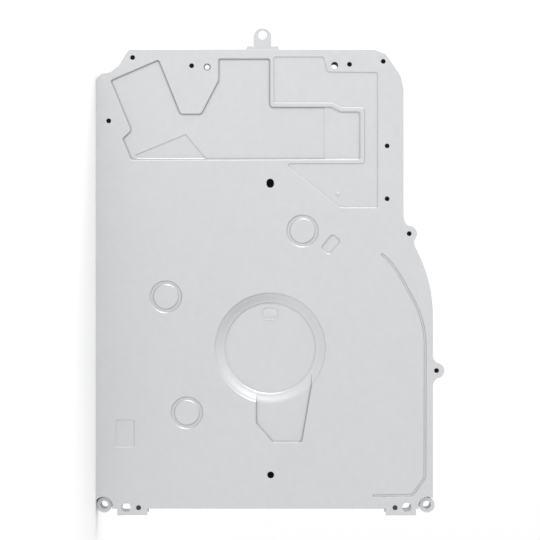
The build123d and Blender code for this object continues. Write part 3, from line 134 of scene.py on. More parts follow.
# Columns: along the sled's way, beside it, and to the label side
UNIT_TURN = Matrix(
    (
        (0.0, 0.0, -1.0, 0.0),
        (math.sin(UNIT_ANGLE), math.cos(UNIT_ANGLE), 0.0, 0.0),
        (math.cos(UNIT_ANGLE), -math.sin(UNIT_ANGLE), 0.0, 0.0),
        (0.0, 0.0, 0.0, 1.0),
    )
)


# Shader maths and finishes
class Shade:
    """A socket's value in a shader; Python operators on it add Math nodes."""

    def __init__(self, nodes, socket):
        self.nodes = nodes
        self.socket = socket

    def _math(self, operation, first, second):
        return self.nodes.node("ShaderNodeMath", {"operation": operation}, {0: first, 1: second})

    def __add__(self, other):
        return self._math("ADD", self, other)

    def __radd__(self, other):
        return self._math("ADD", other, self)

    def __sub__(self, other):
        return self._math("SUBTRACT", self, other)

    def __rsub__(self, other):
        return self._math("SUBTRACT", other, self)

    def __mul__(self, other):
        return self._math("MULTIPLY", self, other)

    def __rmul__(self, other):
        return self._math("MULTIPLY", other, self)

    def __gt__(self, other):
        return self._math("GREATER_THAN", self, other)

    def __pow__(self, other):
        return self._math("POWER", self, other)

    def clamp(self):
        limited = {"operation": "ADD", "use_clamp": True}
        return self.nodes.node("ShaderNodeMath", limited, {0: self, 1: 0.0})


class Nodes:
    """A node tree with one shader, to which nodes are added."""

    def __init__(self, owner, shader):
        owner.use_nodes = True
        self.tree = owner.node_tree
        self.shader = self.tree.nodes[shader]

    def node(self, kind, settings, inputs, output=0):
        """Add a node: settings first, then the values or links of its sockets."""
        made = self.tree.nodes.new(kind)
        for key, value in settings.items():
            setattr(made, key, value)
        for key, value in inputs.items():
            socket = made.inputs[key]
            if isinstance(value, Shade):
                self.tree.links.new(value.socket, socket)
            else:
                socket.default_value = value
        return Shade(self, made.outputs[output])

    def feed(self, name, shade):
        self.tree.links.new(shade.socket, self.shader.inputs[name])


class Finish(Nodes):
    """One procedural material, built node by node on Object coordinates."""

    CONSTANTS = {
        "metallic": "Metallic",
        "roughness": "Roughness",
        "coat": "Coat Weight",
        "coat_roughness": "Coat Roughness",
        "sheen": "Sheen Weight",
        "specular": "Specular IOR Level",
    }

    def __init__(self, name):
        self.material = bpy.data.materials.new(name)
        super().__init__(self.material, "Principled BSDF")
        self.place = self.node("ShaderNodeTexCoord", {}, {}, "Object")

    def constant(self, **values):
        for key, value in values.items():
            self.shader.inputs[self.CONSTANTS[key]].default_value = value

    def noise(self, scale, detail, roughness, stretch=(1.0, 1.0, 1.0)):
        spot = self.node("ShaderNodeMapping", {}, {"Vector": self.place, "Scale": stretch})
        return self.node(
            "ShaderNodeTexNoise",
            {},
            {"Vector": spot, "Scale": scale, "Detail": detail, "Roughness": roughness},
        )

    def cells(self, scale):
        return self.node("ShaderNodeTexVoronoi", {}, {"Vector": self.place, "Scale": scale}, "Color")

    def mix(self, amount, first, second):
        """Mix two colours; sockets 0, 6, 7 and output 2 are the colour ones of a Mix node."""
        return self.node("ShaderNodeMix", {"data_type": "RGBA"}, {0: amount, 6: first, 7: second}, 2)

    def creases(self, reach):
        """Share of open sky over a point: low in creases and beside steps of the same piece."""
        local = {"samples": 8, "only_local": True}
        return self.node("ShaderNodeAmbientOcclusion", local, {"Distance": reach}, "AO")

    def relief(self, height, strength, distance, soft_edge=0.0, under=None):
        """Bump by a height, over softly rounded edges or over another bump."""
        inputs = {"Height": height, "Strength": strength, "Distance": distance}
        if soft_edge:
            under = self.node("ShaderNodeBevel", {"samples": 6}, {"Radius": soft_edge})
        if under:
            inputs["Normal"] = under
        bump = self.node("ShaderNodeBump", {}, inputs)
        self.feed("Normal", bump)
        return bump


def rgba(colour, factor):
    """A colour made darker or lighter by a factor."""
    return (colour[0] * factor, colour[1] * factor, colour[2] * factor, 1.0)


def zinc_sheet(name, colour, roughness, dish=None):
    """Zinc-plated sheet: faint crystals, rolling grain, handling marks and painted shade beside steps and
    in creases.

    dish is a ring of the sheet that slopes inwards: its middle, inner and outer radius.
    """
    finish = Finish(name)
    crystals = finish.node("ShaderNodeSeparateColor", {}, {0: finish.cells(scale=420.0)}, "Red")
    cloud = finish.noise(scale=26.0, detail=4.0, roughness=0.6)
    grain = finish.noise(scale=900.0, detail=2.0, roughness=0.5, stretch=(1.0, 0.05, 1.0))
    tone = (crystals * 0.35 + cloud * 0.65).clamp()
    sheet = finish.mix(tone, rgba(colour, 0.965), rgba(colour, 1.03))
    # Painted shade: the colour darkens where the piece's own ambient occlusion is low, broadly beside steps
    # and more sharply in creases
    shade = ((1.0 - finish.creases(reach=6.0 * MM)) * 1.1).clamp()
    crease_shade = ((1.0 - finish.creases(reach=1.1 * MM)) * 2.1).clamp()
    sheet = finish.mix(shade, sheet, rgba(colour, 0.42))
    finish.feed("Base Color", finish.mix(crease_shade, sheet, rgba(colour, 0.24)))
    scuffs = (finish.noise(scale=70.0, detail=6.0, roughness=0.75) - 0.62).clamp() * 0.9
    finish.feed("Roughness", (grain * 0.07 + crystals * 0.03 + scuffs + (roughness - 0.05)).clamp())
    finish.constant(metallic=0.92)
    texture = finish.relief(
        grain * 0.6 + crystals * 0.4, strength=0.045, distance=0.06 * MM, soft_edge=0.22 * MM
    )
    if dish:
        middle, inner, outer = dish
        measure = {"operation": "DISTANCE"}
        gap = finish.node("ShaderNodeVectorMath", measure, {0: finish.place, 1: middle}, "Value")
        rise = finish.node(
            "ShaderNodeMapRange",
            {"interpolation_type": "SMOOTHSTEP"},
            {"Value": gap, "From Min": inner, "From Max": outer, "To Min": 0.0, "To Max": 1.0},
        )
        finish.relief(rise, strength=1.0, distance=0.9 * MM, under=texture)
    return finish.material


def moulded(name, colour, roughness, grain_scale=1500.0):
    """Moulded plastic with a spark-eroded grain and painted shade in its creases."""
    finish = Finish(name)
    grain = finish.noise(scale=grain_scale, detail=3.0, roughness=0.55)
    cloud = finish.noise(scale=60.0, detail=3.0, roughness=0.5)
    # Painted shade: the colour darkens in creases where the piece's own ambient occlusion is low
    crease_shade = ((1.0 - finish.creases(reach=1.2 * MM)) * 1.3).clamp()
    plain = finish.mix(cloud, rgba(colour, 0.88), rgba(colour, 1.12))
    finish.feed("Base Color", finish.mix(crease_shade, plain, rgba(colour, 0.3)))
    finish.feed("Roughness", (grain * 0.16 + cloud * 0.06 + (roughness - 0.1)).clamp())
    finish.constant(metallic=0.0)
    finish.relief(grain, strength=0.12, distance=0.05 * MM, soft_edge=0.12 * MM)
    return finish.material


def bright_metal(name, colour, roughness, stretch=(1.0, 1.0, 1.0)):
    """Turned, ground or plated metal with tool lines along one direction."""
    finish = Finish(name)
    lines = finish.noise(scale=1400.0, detail=2.0, roughness=0.5, stretch=stretch)
    cloud = finish.noise(scale=90.0, detail=4.0, roughness=0.6)
    finish.feed("Base Color", finish.mix(cloud, rgba(colour, 0.9), rgba(colour, 1.06)))
    finish.feed("Roughness", (lines * 0.14 + cloud * 0.08 + (roughness - 0.08)).clamp())
    finish.constant(metallic=1.0)
    finish.relief(lines, strength=0.08, distance=0.04 * MM, soft_edge=0.1 * MM)
    return finish.material


def rubber(name, colour, roughness):
    """Matt rubber with dust and a faint bloom."""
    finish = Finish(name)
    grain = finish.noise(scale=2200.0, detail=2.0, roughness=0.6)
    bloom = finish.noise(scale=160.0, detail=5.0, roughness=0.65)
    finish.feed("Base Color", finish.mix(bloom ** 2.0, rgba(colour, 0.8), rgba(colour, 1.7)))
    finish.feed("Roughness", (grain * 0.2 + (roughness - 0.1)).clamp())
    finish.constant(metallic=0.0, specular=0.22)
    finish.relief(grain, strength=0.2, distance=0.06 * MM, soft_edge=0.2 * MM)
    return finish.material


def felt(name, colour):
    """Short felt with lying fibres."""
    finish = Finish(name)
    fibres = finish.noise(scale=2600.0, detail=5.0, roughness=0.8, stretch=(1.0, 0.35, 1.0))
    tufts = finish.noise(scale=420.0, detail=3.0, roughness=0.6)
    finish.feed("Base Color", finish.mix(fibres, rgba(colour, 0.5), rgba(colour, 2.2)))
    finish.constant(metallic=0.0, roughness=0.95, sheen=0.4, specular=0.1)
    finish.relief(fibres + tufts, strength=0.9, distance=0.2 * MM)
    return finish.material


def lacquered_board(name, colour):
    """Green solder lacquer with tracks showing through."""
    finish = Finish(name)
    rearward = finish.node("ShaderNodeSeparateXYZ", {}, {0: finish.place}, "Y")
    upward = finish.node("ShaderNodeSeparateXYZ", {}, {0: finish.place}, "Z")
    bends = finish.noise(scale=55.0, detail=1.0, roughness=0.3)
    sine = {"operation": "SINE"}
    waves = finish.node("ShaderNodeMath", sine, {0: (rearward + bends * 0.012) * 5200.0})
    lines = finish.node("ShaderNodeMath", sine, {0: (upward + bends * 0.010) * 4700.0})
    field = finish.noise(scale=130.0, detail=1.0, roughness=0.2) > 0.52
    tracks = ((waves > 0.35) * field + (lines > 0.35) * (1 - field)).clamp()
    finish.feed("Base Color", finish.mix(tracks * 0.75, rgba(colour, 0.72), rgba(colour, 1.5)))
    finish.constant(metallic=0.0, roughness=0.33, coat=0.4, coat_roughness=0.2)
    finish.relief(tracks, strength=0.25, distance=0.04 * MM, soft_edge=0.1 * MM)
    return finish.material


def amber_film(name, colour):
    """Amber insulating film over metal."""
    finish = Finish(name)
    cloud = finish.noise(scale=220.0, detail=3.0, roughness=0.5)
    finish.feed("Base Color", finish.mix(cloud, rgba(colour, 0.85), rgba(colour, 1.2)))
    finish.feed("Roughness", (cloud * 0.15 + 0.22).clamp())
    finish.constant(metallic=0.0, coat=0.5, coat_roughness=0.15)
    finish.relief(cloud, strength=0.15, distance=0.1 * MM, soft_edge=0.06 * MM)
    return finish.material


def coated_lens(name, colour):
    """Polished lens under a bluish coat."""
    finish = Finish(name)
    cloud = finish.noise(scale=300.0, detail=2.0, roughness=0.5)
    finish.feed("Base Color", finish.mix(cloud, rgba(colour, 0.9), rgba(colour, 1.1)))
    finish.constant(metallic=0.2, roughness=0.04, coat=1.0, coat_roughness=0.02)
    return finish.material


# Sizes and colours that a user would change
class SheetSettings(bpy.types.PropertyGroup):
    cover_colour: FloatVectorProperty(
        name="Cover colour",
        description="Colour of the zinc-plated covers",
        subtype="COLOR",
        default=(0.615, 0.62, 0.635),
        min=0.0,
        max=1.0,
    )
    cover_roughness: FloatProperty(
        name="Cover roughness",
        description="How softly the covers reflect",
        default=0.42,
        min=0.05,
        max=1.0,
        subtype="FACTOR",
    )


class FastenerSettings(bpy.types.PropertyGroup):
    head_radius: FloatProperty(
        name="Screw head radius",
        description="Radius of a cover screw's head",
        default=1.8 * MM,
        unit="LENGTH",
    )
    mount_head_radius: FloatProperty(
        name="Mount head radius",
        description="Radius of a shoulder screw's head",
        default=3.5 * MM,
        unit="LENGTH",
    )
    damper_radius: FloatProperty(
        name="Damper radius",
        description="Radius of a rubber damper's flange",
        default=7.0 * MM,
        unit="LENGTH",
    )


class StageSettings(bpy.types.PropertyGroup):
    lens: FloatProperty(
        name="Lens",
        description="Focal length of the camera",
        default=150.0,
        unit="CAMERA",
    )
    picture_height: FloatProperty(
        name="Picture height",
        description="Height of the drive's plane that the picture takes in",
        default=0.237,
        unit="LENGTH",
    )
    sky: FloatProperty(
        name="Surround light",
        description="Strength of the white surroundings",
        default=1.0,
        min=0.0,
    )


# Modelling helpers
SMOOTH_ANGLE = math.radians(35.0)
THREAD_SMOOTH_ANGLE = math.radians(40.0)
MERGE_WITHIN = 0.002 * MM


def select_none():
    for other in bpy.context.view_layer.objects:
        other.select_set(False)


def select_only(*objects):
    select_none()
    for each in objects:
        each.select_set(True)
    bpy.context.view_layer.objects.active = objects[-1]


def start(name, size=(1.0, 1.0, 1.0)):
    """Name the primitive that was just added, size it and apply its place and turn."""
    made = bpy.context.object
    made.name = name
    made.data.name = name
    made.scale = size
    select_only(made)
    bpy.ops.object.transform_apply(location=True, rotation=True, scale=True)
    return made


def disc(name, radius, depth, segments=48, middle=(0.0, 0.0, 0.0)):
    select_none()
    bpy.ops.mesh.primitive_cylinder_add(vertices=segments, radius=radius, depth=depth, location=middle)
    return start(name)


def block(name, size, middle=(0.0, 0.0, 0.0)):
    select_none()
    bpy.ops.mesh.primitive_cube_add(size=1.0, location=middle)
    return start(name, size)


def pick(obj, kind, test):
    """In edit mode, select the faces or edges of an object that pass a test."""
    select_only(obj)
    bpy.ops.object.mode_set(mode="EDIT")
    bpy.ops.mesh.select_all(action="DESELECT")
    bpy.ops.mesh.select_mode(type=kind)
    bpy.ops.object.mode_set(mode="OBJECT")
    mesh = obj.data
    if kind == "FACE":
        for face in mesh.polygons:
            face.select = test(face.center, face.normal)
    else:
        for edge in mesh.edges:
            ends = [mesh.vertices[i].co for i in edge.vertices]
            edge.select = test(ends[0], ends[1])
    bpy.ops.object.mode_set(mode="EDIT")


def done():
    bpy.ops.object.mode_set(mode="OBJECT")


def step_face(obj, *steps, facing=1.0):
    """Inset the face that looks up or down and shift what is inside, once for each (inset, rise)."""
    pick(obj, "FACE", lambda centre, normal: normal.z * facing > 0.9)
    for inset, rise in steps:
        bpy.ops.mesh.inset(thickness=inset)
        if rise:
            bpy.ops.transform.translate(value=(0.0, 0.0, rise))
    done()
    return obj


def move(obj, place, turn=Matrix()):
    """Turn and move a mesh, while its object stays at the origin."""
    obj.data.transform(Matrix.Translation(place) @ turn)
    return obj


def stands(places, h, turn):
    """The matrices that put a pattern at each (u, v) of the drive, all at one height."""
    return [Matrix.Translation(at(u, v, h)) @ turn for u, v in places]


def spread(count, pitch):
    """Even places along a row, half of them on each side of its middle."""
    return [(n - (count - 1) / 2) * pitch for n in range(count)]


def soften(obj, width, segments=2, angle=40.0):
    """Bevel the sharp edges and smooth the rest."""
    select_only(obj)
    bevel = obj.modifiers.new("edges", "BEVEL")
    bevel.width = width
    bevel.segments = segments
    bevel.limit_method = "ANGLE"
    bevel.angle_limit = math.radians(angle)
    bpy.ops.object.modifier_apply(modifier=bevel.name)
    bpy.ops.object.shade_smooth_by_angle(angle=SMOOTH_ANGLE)
    return obj


def combine(obj, operation, others):
    for other in others:
        select_only(obj)
        boolean = obj.modifiers.new("combine", "BOOLEAN")
        boolean.operation = operation
        boolean.solver = "EXACT"
        boolean.object = other
        bpy.ops.object.modifier_apply(modifier=boolean.name)
        bpy.data.objects.remove(other, do_unlink=True)
    return obj


def carve(obj, *cutters):
    """Cut away the cutters' shapes, then delete them."""
    return combine(obj, "DIFFERENCE", cutters)


def weld(obj, *others):
    """Unite solids into one closed skin."""
    return combine(obj, "UNION", others)


def join(name, *objects):
    select_only(*objects)
    bpy.ops.object.join()
    made = bpy.context.object
    made.name = name
    made.data.name = name
    return made


def copies(name, pattern, matrices):
    """Put a copy of the pattern at each place and join them into one piece."""
    made = []
    for n, matrix in enumerate(matrices):
        mesh = pattern.data.copy()
        mesh.transform(matrix)
        each = bpy.data.objects.new(f"{name}_{n}", mesh)
        bpy.context.collection.objects.link(each)
        made.append(each)
    bpy.data.objects.remove(pattern, do_unlink=True)
    return join(name, *made)


def paint(obj, *materials):
    obj.data.materials.clear()
    for material in materials:
        obj.data.materials.append(material)
    return obj


def paint_node(name, material):
    """Give a carried-over node its finish."""
    obj = frame["nodes"][name]
    for holder in obj.material_slots:
        holder.material = material
    if not obj.material_slots:
        obj.data.materials.append(material)


def piece(obj, body, slot, *nodes):
    """Let a new piece ride on its body and stand for its nodes, which it hides; slot is not used."""
    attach(obj, body)
    if nodes:
        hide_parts(*nodes)
    return obj


def tint(obj, index, test):
    """Give the faces that pass a test another of the object's materials."""
    for face in obj.data.polygons:
        if test(face.center, face.normal):
            face.material_index = index
    return obj


def cross_head(name, radius, height, recess, arm, skin, core):
    """Screw head with a rounded rim and a cross recess whose faces take the core material, its seat at z =
    0.
    """
    top = height * 1.12
    head = disc(name, radius, height, 40, (0.0, 0.0, height / 2))
    step_face(head, (radius * 0.28, height * 0.12))
    cutters = []
    for turn in (0.0, QUARTER_TURN):
        bar = block("bar", (2 * arm, arm * 0.42, 2 * recess), (0.0, 0.0, top))
        bar.data.transform(Matrix.Rotation(turn, 4, "Z"))
        cutters.append(bar)
    pit = disc("pit", arm * 0.52, 2.4 * recess, 20, (0.0, 0.0, top))
    carve(head, *cutters, pit)
    paint(soften(head, radius * 0.06, 2, 30.0), skin, core)
    # The recess's faces get the core material; on the cover and chassis screws it is a painted highlight
    return tint(head, 1, lambda centre, normal: centre.xy.length < arm * 0.95 and centre.z < height * 1.08)


def thread(name, radius, pitch, length, depth, segments=16):
    """Screwed rod along z from 0: the section of one tooth swept up a helix round a core."""
    foot = pitch * 0.84
    crest_of_foot = 0.3
    select_none()
    bpy.ops.mesh.primitive_plane_add(size=1.0, rotation=(QUARTER_TURN, 0.0, 0.0))
    ridge = start(name)
    ridge.data.transform(Matrix.Diagonal((depth * 1.1, 1.0, foot, 1.0)))
    move(ridge, (radius - depth * 0.55, 0.0, pitch * 0.5))
    pick(ridge, "EDGE", lambda one, two: min(one.x, two.x) > radius - depth * 0.5)
    bpy.ops.transform.resize(value=(1.0, 1.0, crest_of_foot))
    bpy.ops.mesh.select_all(action="SELECT")
    bpy.ops.mesh.delete(type="ONLY_FACE")
    done()
    select_only(ridge)
    sweep = ridge.modifiers.new("helix", "SCREW")
    sweep.axis = "Z"
    sweep.angle = 2 * math.pi
    sweep.screw_offset = pitch
    sweep.iterations = max(1, int(length / pitch) - 1)
    sweep.steps = segments
    sweep.render_steps = segments
    sweep.use_smooth_shade = False
    bpy.ops.object.modifier_apply(modifier=sweep.name)
    bpy.ops.object.mode_set(mode="EDIT")
    bpy.ops.mesh.select_all(action="SELECT")
    bpy.ops.mesh.remove_doubles(threshold=MERGE_WITHIN)
    bpy.ops.mesh.fill_holes(sides=8)
    bpy.ops.mesh.select_all(action="SELECT")
    bpy.ops.mesh.normals_make_consistent(inside=False)
    done()
    core = disc(name + "_core", radius - depth, length, segments, (0.0, 0.0, length / 2))
    soften(core, depth, 1, 50.0)
    made = join(name, ridge, core)
    bpy.ops.object.shade_smooth_by_angle(angle=THREAD_SMOOTH_ANGLE)
    return made


def screw_tip(name, radius):
    """Rounded end of a machine screw, its crown at z = 0 and its body above."""
    tip = disc(name, radius, 0.5 * MM, 24, mm(0.0, 0.0, 0.25))
    step_face(tip, (radius * 0.3, 0.08 * MM), facing=-1.0)
    return soften(tip, 0.06 * MM, 2, 30.0)


# Places on the drive as (u, v) in mm, and for a cover screw the face that its head sits on
COVER_SCREWS = (
    (-60.4, 198.0, RIM_OUT),
    (49.6, 196.3, RIM_OUT),
    (34.8, 195.0, BAY_OUT),
    (51.3, 159.2, BAY_OUT),
    (51.3, 136.0, BAY_OUT),
    (61.0, 120.7, RIM_OUT),
    (73.0, 60.6, RIM_OUT),
)
BLIND_SCREWS = ((-34.5, 194.4), (-70.9, 170.2))
MOUNTS = ((1.7, 99.8), (38.9, 70.8), (-48.1, 82.1), (-29.8, 23.3))
CLAMP_RING_RADII = mm(20.0, 24.4)
CLAMP_FIELD_OVAL = (0.0, DISC_V + 15.2)
HALF_PIERCED_BOSS = (29.6, 138.1)
SHADE_BEHIND_HOLE = (-66.7, 51.3)
LOCATING_PIN = (-27.7, 193.8)
WIRE_CONNECTOR = (42.3, 175.3)
RIBBON_CONNECTOR = (39.2, 147.5)
RIBBON_LATCH = (35.3, 147.5)

SCREW_RADIUS = 0.98 * MM
SCREW_PITCH = 0.4 * MM
SCREW_HEAD = {"height": 0.62 * MM, "recess": 0.36 * MM, "arm": 0.8 * MM}
RIM_SHANK = 15.1 * MM
BAY_SHANK = 14.3 * MM
CHASSIS_SHANK = 3.9 * MM


def screw_shank(name, length):
    """Threaded shank of a cover or chassis screw."""
    return thread(name, SCREW_RADIUS, SCREW_PITCH, length, 0.16 * MM)


class DRIVE_OT_covers(bpy.types.Operator):
    """Finish the two sheet covers in zinc plate"""

    bl_idname = "drive.covers"
    bl_label = "Covers"

    def execute(self, context):
        sheet = context.scene.drive_sheet
        label = zinc_sheet(
            "zinc_label_side",
            tuple(sheet.cover_colour),
            sheet.cover_roughness,
            (at(0.0, DISC_V, TOP_OUT - 0.5), *CLAMP_RING_RADII),
        )
        under = zinc_sheet("zinc_underside", tuple(sheet.cover_colour), sheet.cover_roughness)
        paint_node("top_cover", label)
        paint_node("bottom_cover", under)
        oval = block("clamp_field_oval", mm(7.8, 5.8, 0.4))
        pick(oval, "EDGE", lambda one, two: abs(one.z - two.z) > 0.3 * MM)
        bpy.ops.mesh.bevel(offset=2.5 * MM, segments=9)
        done()
        step_face(oval, mm(0.55, -0.22), mm(0.5, 0.1))
        soften(oval, 0.07 * MM, 2, 25.0)
        move(oval, at(*CLAMP_FIELD_OVAL, TOP_OUT - 0.76), TO_LABEL)
        piece(paint(oval, label), "housing", "top_cover")
        boss = disc("half_pierced_boss", 1.02 * MM, 0.7 * MM, 32)
        step_face(boss, mm(0.3, 0.08))
        soften(boss, 0.1 * MM, 2, 20.0)
        move(boss, at(*HALF_PIERCED_BOSS, TOP_OUT - 0.44), TO_LABEL)
        piece(paint(boss, label), "housing", "top_cover")
        return {"FINISHED"}


class DRIVE_OT_cover_screws(bpy.types.Operator):
    """Model the cover screws with cross recesses and threaded tips"""

    bl_idname = "drive.cover_screws"
    bl_label = "Cover screws"

    def execute(self, context):
        radius = context.scene.drive_fasteners.head_radius
        black = bright_metal("black_zinc", (0.012, 0.012, 0.014), 0.38)
        # Painted highlight: lighter grey metal on the recess faces stands in for light caught in the cross
        # recess
        recess_highlight = bright_metal("painted_recess_highlight", (0.36, 0.36, 0.37), 0.3)
        head = cross_head("cover_screw_head", radius, skin=black, core=recess_highlight, **SCREW_HEAD)
        seats = [Matrix.Translation(at(*screw)) @ TO_UNDERSIDE for screw in COVER_SCREWS]
        heads = copies("cover_screw_heads", head, seats)
        shank = paint(screw_shank("cover_screw_shank", RIM_SHANK), black, recess_highlight)
        shorter = Matrix.Scale(BAY_SHANK / RIM_SHANK, 4, (0.0, 0.0, 1.0))
        on_rim = [screw for screw in COVER_SCREWS if screw[2] == RIM_OUT]
        in_bay = [screw for screw in COVER_SCREWS if screw[2] == BAY_OUT]
        holes = [Matrix.Translation(at(*screw)) @ TO_LABEL for screw in on_rim]
        holes += [Matrix.Translation(at(*screw)) @ TO_LABEL @ shorter for screw in in_bay]
        tip = paint(screw_tip("cover_screw_tip", SCREW_RADIUS), black, recess_highlight)
        places = [screw[:2] for screw in COVER_SCREWS]
        tips = copies("cover_screw_tips", tip, stands(places, TOP_OUT, TO_UNDERSIDE))
        shanks = copies("cover_screw_shanks", shank, holes)
        whole = join("cover_screws_fine", heads, shanks, tips)
        piece(whole, "housing", "cover_screws", "cover_screws")
        tip = paint(screw_tip("chassis_screw", SCREW_RADIUS), black, recess_highlight)
        tips = copies("chassis_screw_tips", tip, stands(BLIND_SCREWS, TOP_OUT, TO_UNDERSIDE))
        head = cross_head("chassis_screw_head", radius, skin=black, core=recess_highlight, **SCREW_HEAD)
        heads = copies("chassis_screw_heads", head, stands(BLIND_SCREWS, CHASSIS_SEAT, TO_UNDERSIDE))
        shank = paint(screw_shank("chassis_screw_shank", CHASSIS_SHANK), black, recess_highlight)
        shanks = copies("chassis_screw_shanks", shank, stands(BLIND_SCREWS, CHASSIS_SEAT, TO_LABEL))
        whole = join("chassis_screws_fine", tips, heads, shanks)
        piece(whole, "housing", "chassis_screws", "chassis_screws")
        return {"FINISHED"}


class DRIVE_OT_mounts(bpy.types.Operator):
    """Model the four rubber dampers and their shoulder screws"""

    bl_idname = "drive.mounts"
    bl_label = "Rubber mounts"

    def execute(self, context):
        settings = context.scene.drive_fasteners
        flange = settings.damper_radius
        black = rubber("damper_rubber", (0.008, 0.008, 0.009), 0.6)
        bright = bright_metal("plated_head", (0.74, 0.74, 0.75), 0.24)
        # Painted highlight: the lip round each damper's recess is far lighter metal than the cover, for the
        # light on its rounded edge
        lip_highlight = bright_metal("painted_lip_highlight", (0.86, 0.87, 0.88), 0.3)
        recess = stands(MOUNTS, PAN_OUT + 2.0, TO_UNDERSIDE)
        ring = disc("damper_flange", flange, 1.5 * MM, 64, mm(0.0, 0.0, 0.75))
        step_face(ring, mm(1.3, 0.0), mm(0.25, -0.5), mm(1.0, 0.0), mm(0.2, 0.5))
        soften(ring, 0.28 * MM, 3)
        waist = disc("damper_waist", 5.0 * MM, 1.0 * MM, 48, mm(0.0, 0.0, -0.4))
        inner = disc("damper_inner", flange, 1.0 * MM, 64, mm(0.0, 0.0, -1.3))
        soften(inner, 0.25 * MM, 3)
        made = copies("dampers_fine", join("damper_pattern", waist, inner, ring), recess)
        piece(paint(made, black), "housing", "dampers", "dampers")
        lip = disc("recess_lip", flange + 1.0 * MM, 0.62 * MM, 72, mm(0.0, 0.0, 0.3))
        carve(lip, disc("bore", flange + 0.25 * MM, 2.0 * MM, 72))
        soften(lip, 0.2 * MM, 3)
        made = copies("recess_lips", lip, recess)
        piece(paint(made, lip_highlight), "housing", "bottom_cover")
        head_radius = settings.mount_head_radius
        washer = disc("mount_washer", head_radius, 0.14 * MM, 56, mm(0.0, 0.0, 0.07))
        soften(washer, 0.04 * MM)
        head = cross_head("mount_head", head_radius * 0.86, 0.31 * MM, 0.24 * MM, 1.75 * MM, bright, bright)
        move(head, mm(0.0, 0.0, 0.14))
        shank = disc("mount_shank", 1.9 * MM, 3.2 * MM, 32, mm(0.0, 0.0, -1.6))
        stud = thread("mount_thread", SCREW_RADIUS, SCREW_PITCH, 1.2 * MM, 0.14 * MM)
        move(stud, mm(0.0, 0.0, -4.45))
        pattern = join("mount_pattern", shank, stud, washer, head)
        made = copies("mount_screws_fine", pattern, stands(MOUNTS, PAN_OUT + 0.5, TO_UNDERSIDE))
        piece(paint(made, bright), "housing", "mount_screws", "mount_screws")
        return {"FINISHED"}


# Parts on the board in mm: (u, v, width, depth, height), and without a height for the small ones
COATED_CHIP = (39.0, 188.2, 5.2, 5.2, 0.6)
CHIPS = (
    COATED_CHIP,
    (-6.0, 160.0, 17.0, 17.0, 1.4),
    (-6.0, 182.0, 14.0, 9.0, 1.4),
    (14.0, 150.0, 5.0, 6.0, 1.4),
    (-22.0, 152.0, 5.0, 6.0, 1.4),
)
SMALL_PARTS = (
    (35.2, 179.6, 2.2, 1.4),
    (36.2, 175.6, 1.6, 3.0),
    (35.4, 171.0, 2.0, 1.2),
    (32.4, 152.6, 1.4, 2.6),
    (32.6, 148.2, 1.6, 1.6),
    (32.4, 143.6, 1.4, 2.6),
)
LEAD_PITCH = 0.8
FOOT_PADS_U = 46.6
WINDOWS_U = (33.0, 48.0)
WINDOWS_V = (138.0, 191.0)
VIAS = 46
VIA_RADII = (0.22, 0.3, 0.38)
WIRE_POLES = 4
WIRE_PITCH = 2.0
RIBBON_WAYS = 20
RIBBON_PITCH = 0.66
RIBBON_LENGTH = 15.9


def stand_on_board(obj, u, v):
    """Stand a piece on the board: its x runs down the drive, its y to the rear."""
    return move(obj, at(u, v, BOARD_LOW), TO_UNDERSIDE)


class DRIVE_OT_board(bpy.types.Operator):
    """Finish the board and add its parts, pads and vias"""

    bl_idname = "drive.board"
    bl_label = "Circuit board"

    def execute(self, context):
        paint_node("circuit_board", lacquered_board("board_lacquer", (0.022, 0.20, 0.065)))
        paint_node("insulating_film", amber_film("amber_film", (0.70, 0.30, 0.045)))
        case = moulded("chip_case", (0.03, 0.03, 0.033), 0.45, 2400.0)
        coated = moulded("coated_chip", (0.13, 0.24, 0.15), 0.4, 2400.0)
        pale = moulded("resistor_body", (0.36, 0.30, 0.22), 0.5, 2400.0)
        solder = bright_metal("solder", (0.70, 0.70, 0.71), 0.28)
        chips = []
        leads = []
        for each in CHIPS:
            u, v, wide, deep, tall = each
            chip = block("chip", mm(wide * 0.9, deep * 0.9, tall * 0.9))
            move(chip, mm(0.0, 0.0, tall * 0.55))
            soften(chip, 0.06 * MM)
            paint(chip, coated if each is COATED_CHIP else case)
            chips.append(stand_on_board(chip, u, v))
            for y in spread(max(3, int(deep / 0.9)), LEAD_PITCH):
                for side in (-1, 1):
                    foot = soften(block("lead", mm(0.5, 0.32, 0.12)), 0.04 * MM, 1)
                    move(foot, mm(side * (wide / 2 - 0.1), y, 0.08))
                    leads.append(stand_on_board(foot, u, v))
        small_parts = []
        for u, v, wide, deep in SMALL_PARTS:
            part = block("small_part", mm(wide * 0.86, deep * 0.62, 0.5))
            move(part, mm(0.0, 0.0, 0.28))
            soften(part, 0.05 * MM)
            small_parts.append(stand_on_board(part, u, v))
            for side in (-1, 1):
                end = block("end_cap", mm(wide, deep * 0.2, 0.56))
                move(end, mm(0.0, side * deep * 0.38, 0.3))
                soften(end, 0.06 * MM)
                leads.append(stand_on_board(end, u, v))
        random.seed(5)
        for _ in range(VIAS):
            u = random.uniform(*WINDOWS_U)
            v = random.uniform(*WINDOWS_V)
            via = disc("via", random.choice(VIA_RADII) * MM, 0.04 * MM, 14)
            move(via, mm(0.0, 0.0, 0.02))
            leads.append(stand_on_board(via, u, v))
        for y in spread(WIRE_POLES, WIRE_PITCH):
            pad = soften(block("foot_pad", mm(1.7, 1.1, 0.12)), 0.05 * MM)
            move(pad, mm(0.0, 0.0, 0.05))
            leads.append(stand_on_board(pad, FOOT_PADS_U, WIRE_CONNECTOR[1] + y))
        piece(join("board_chips_fine", *chips), "housing", "board_chips", "board_chips")
        piece(paint(join("board_small_parts", *small_parts), pale), "housing", "board_chips")
        piece(paint(join("board_solder", *leads), solder), "housing", "board_chips")
        return {"FINISHED"}


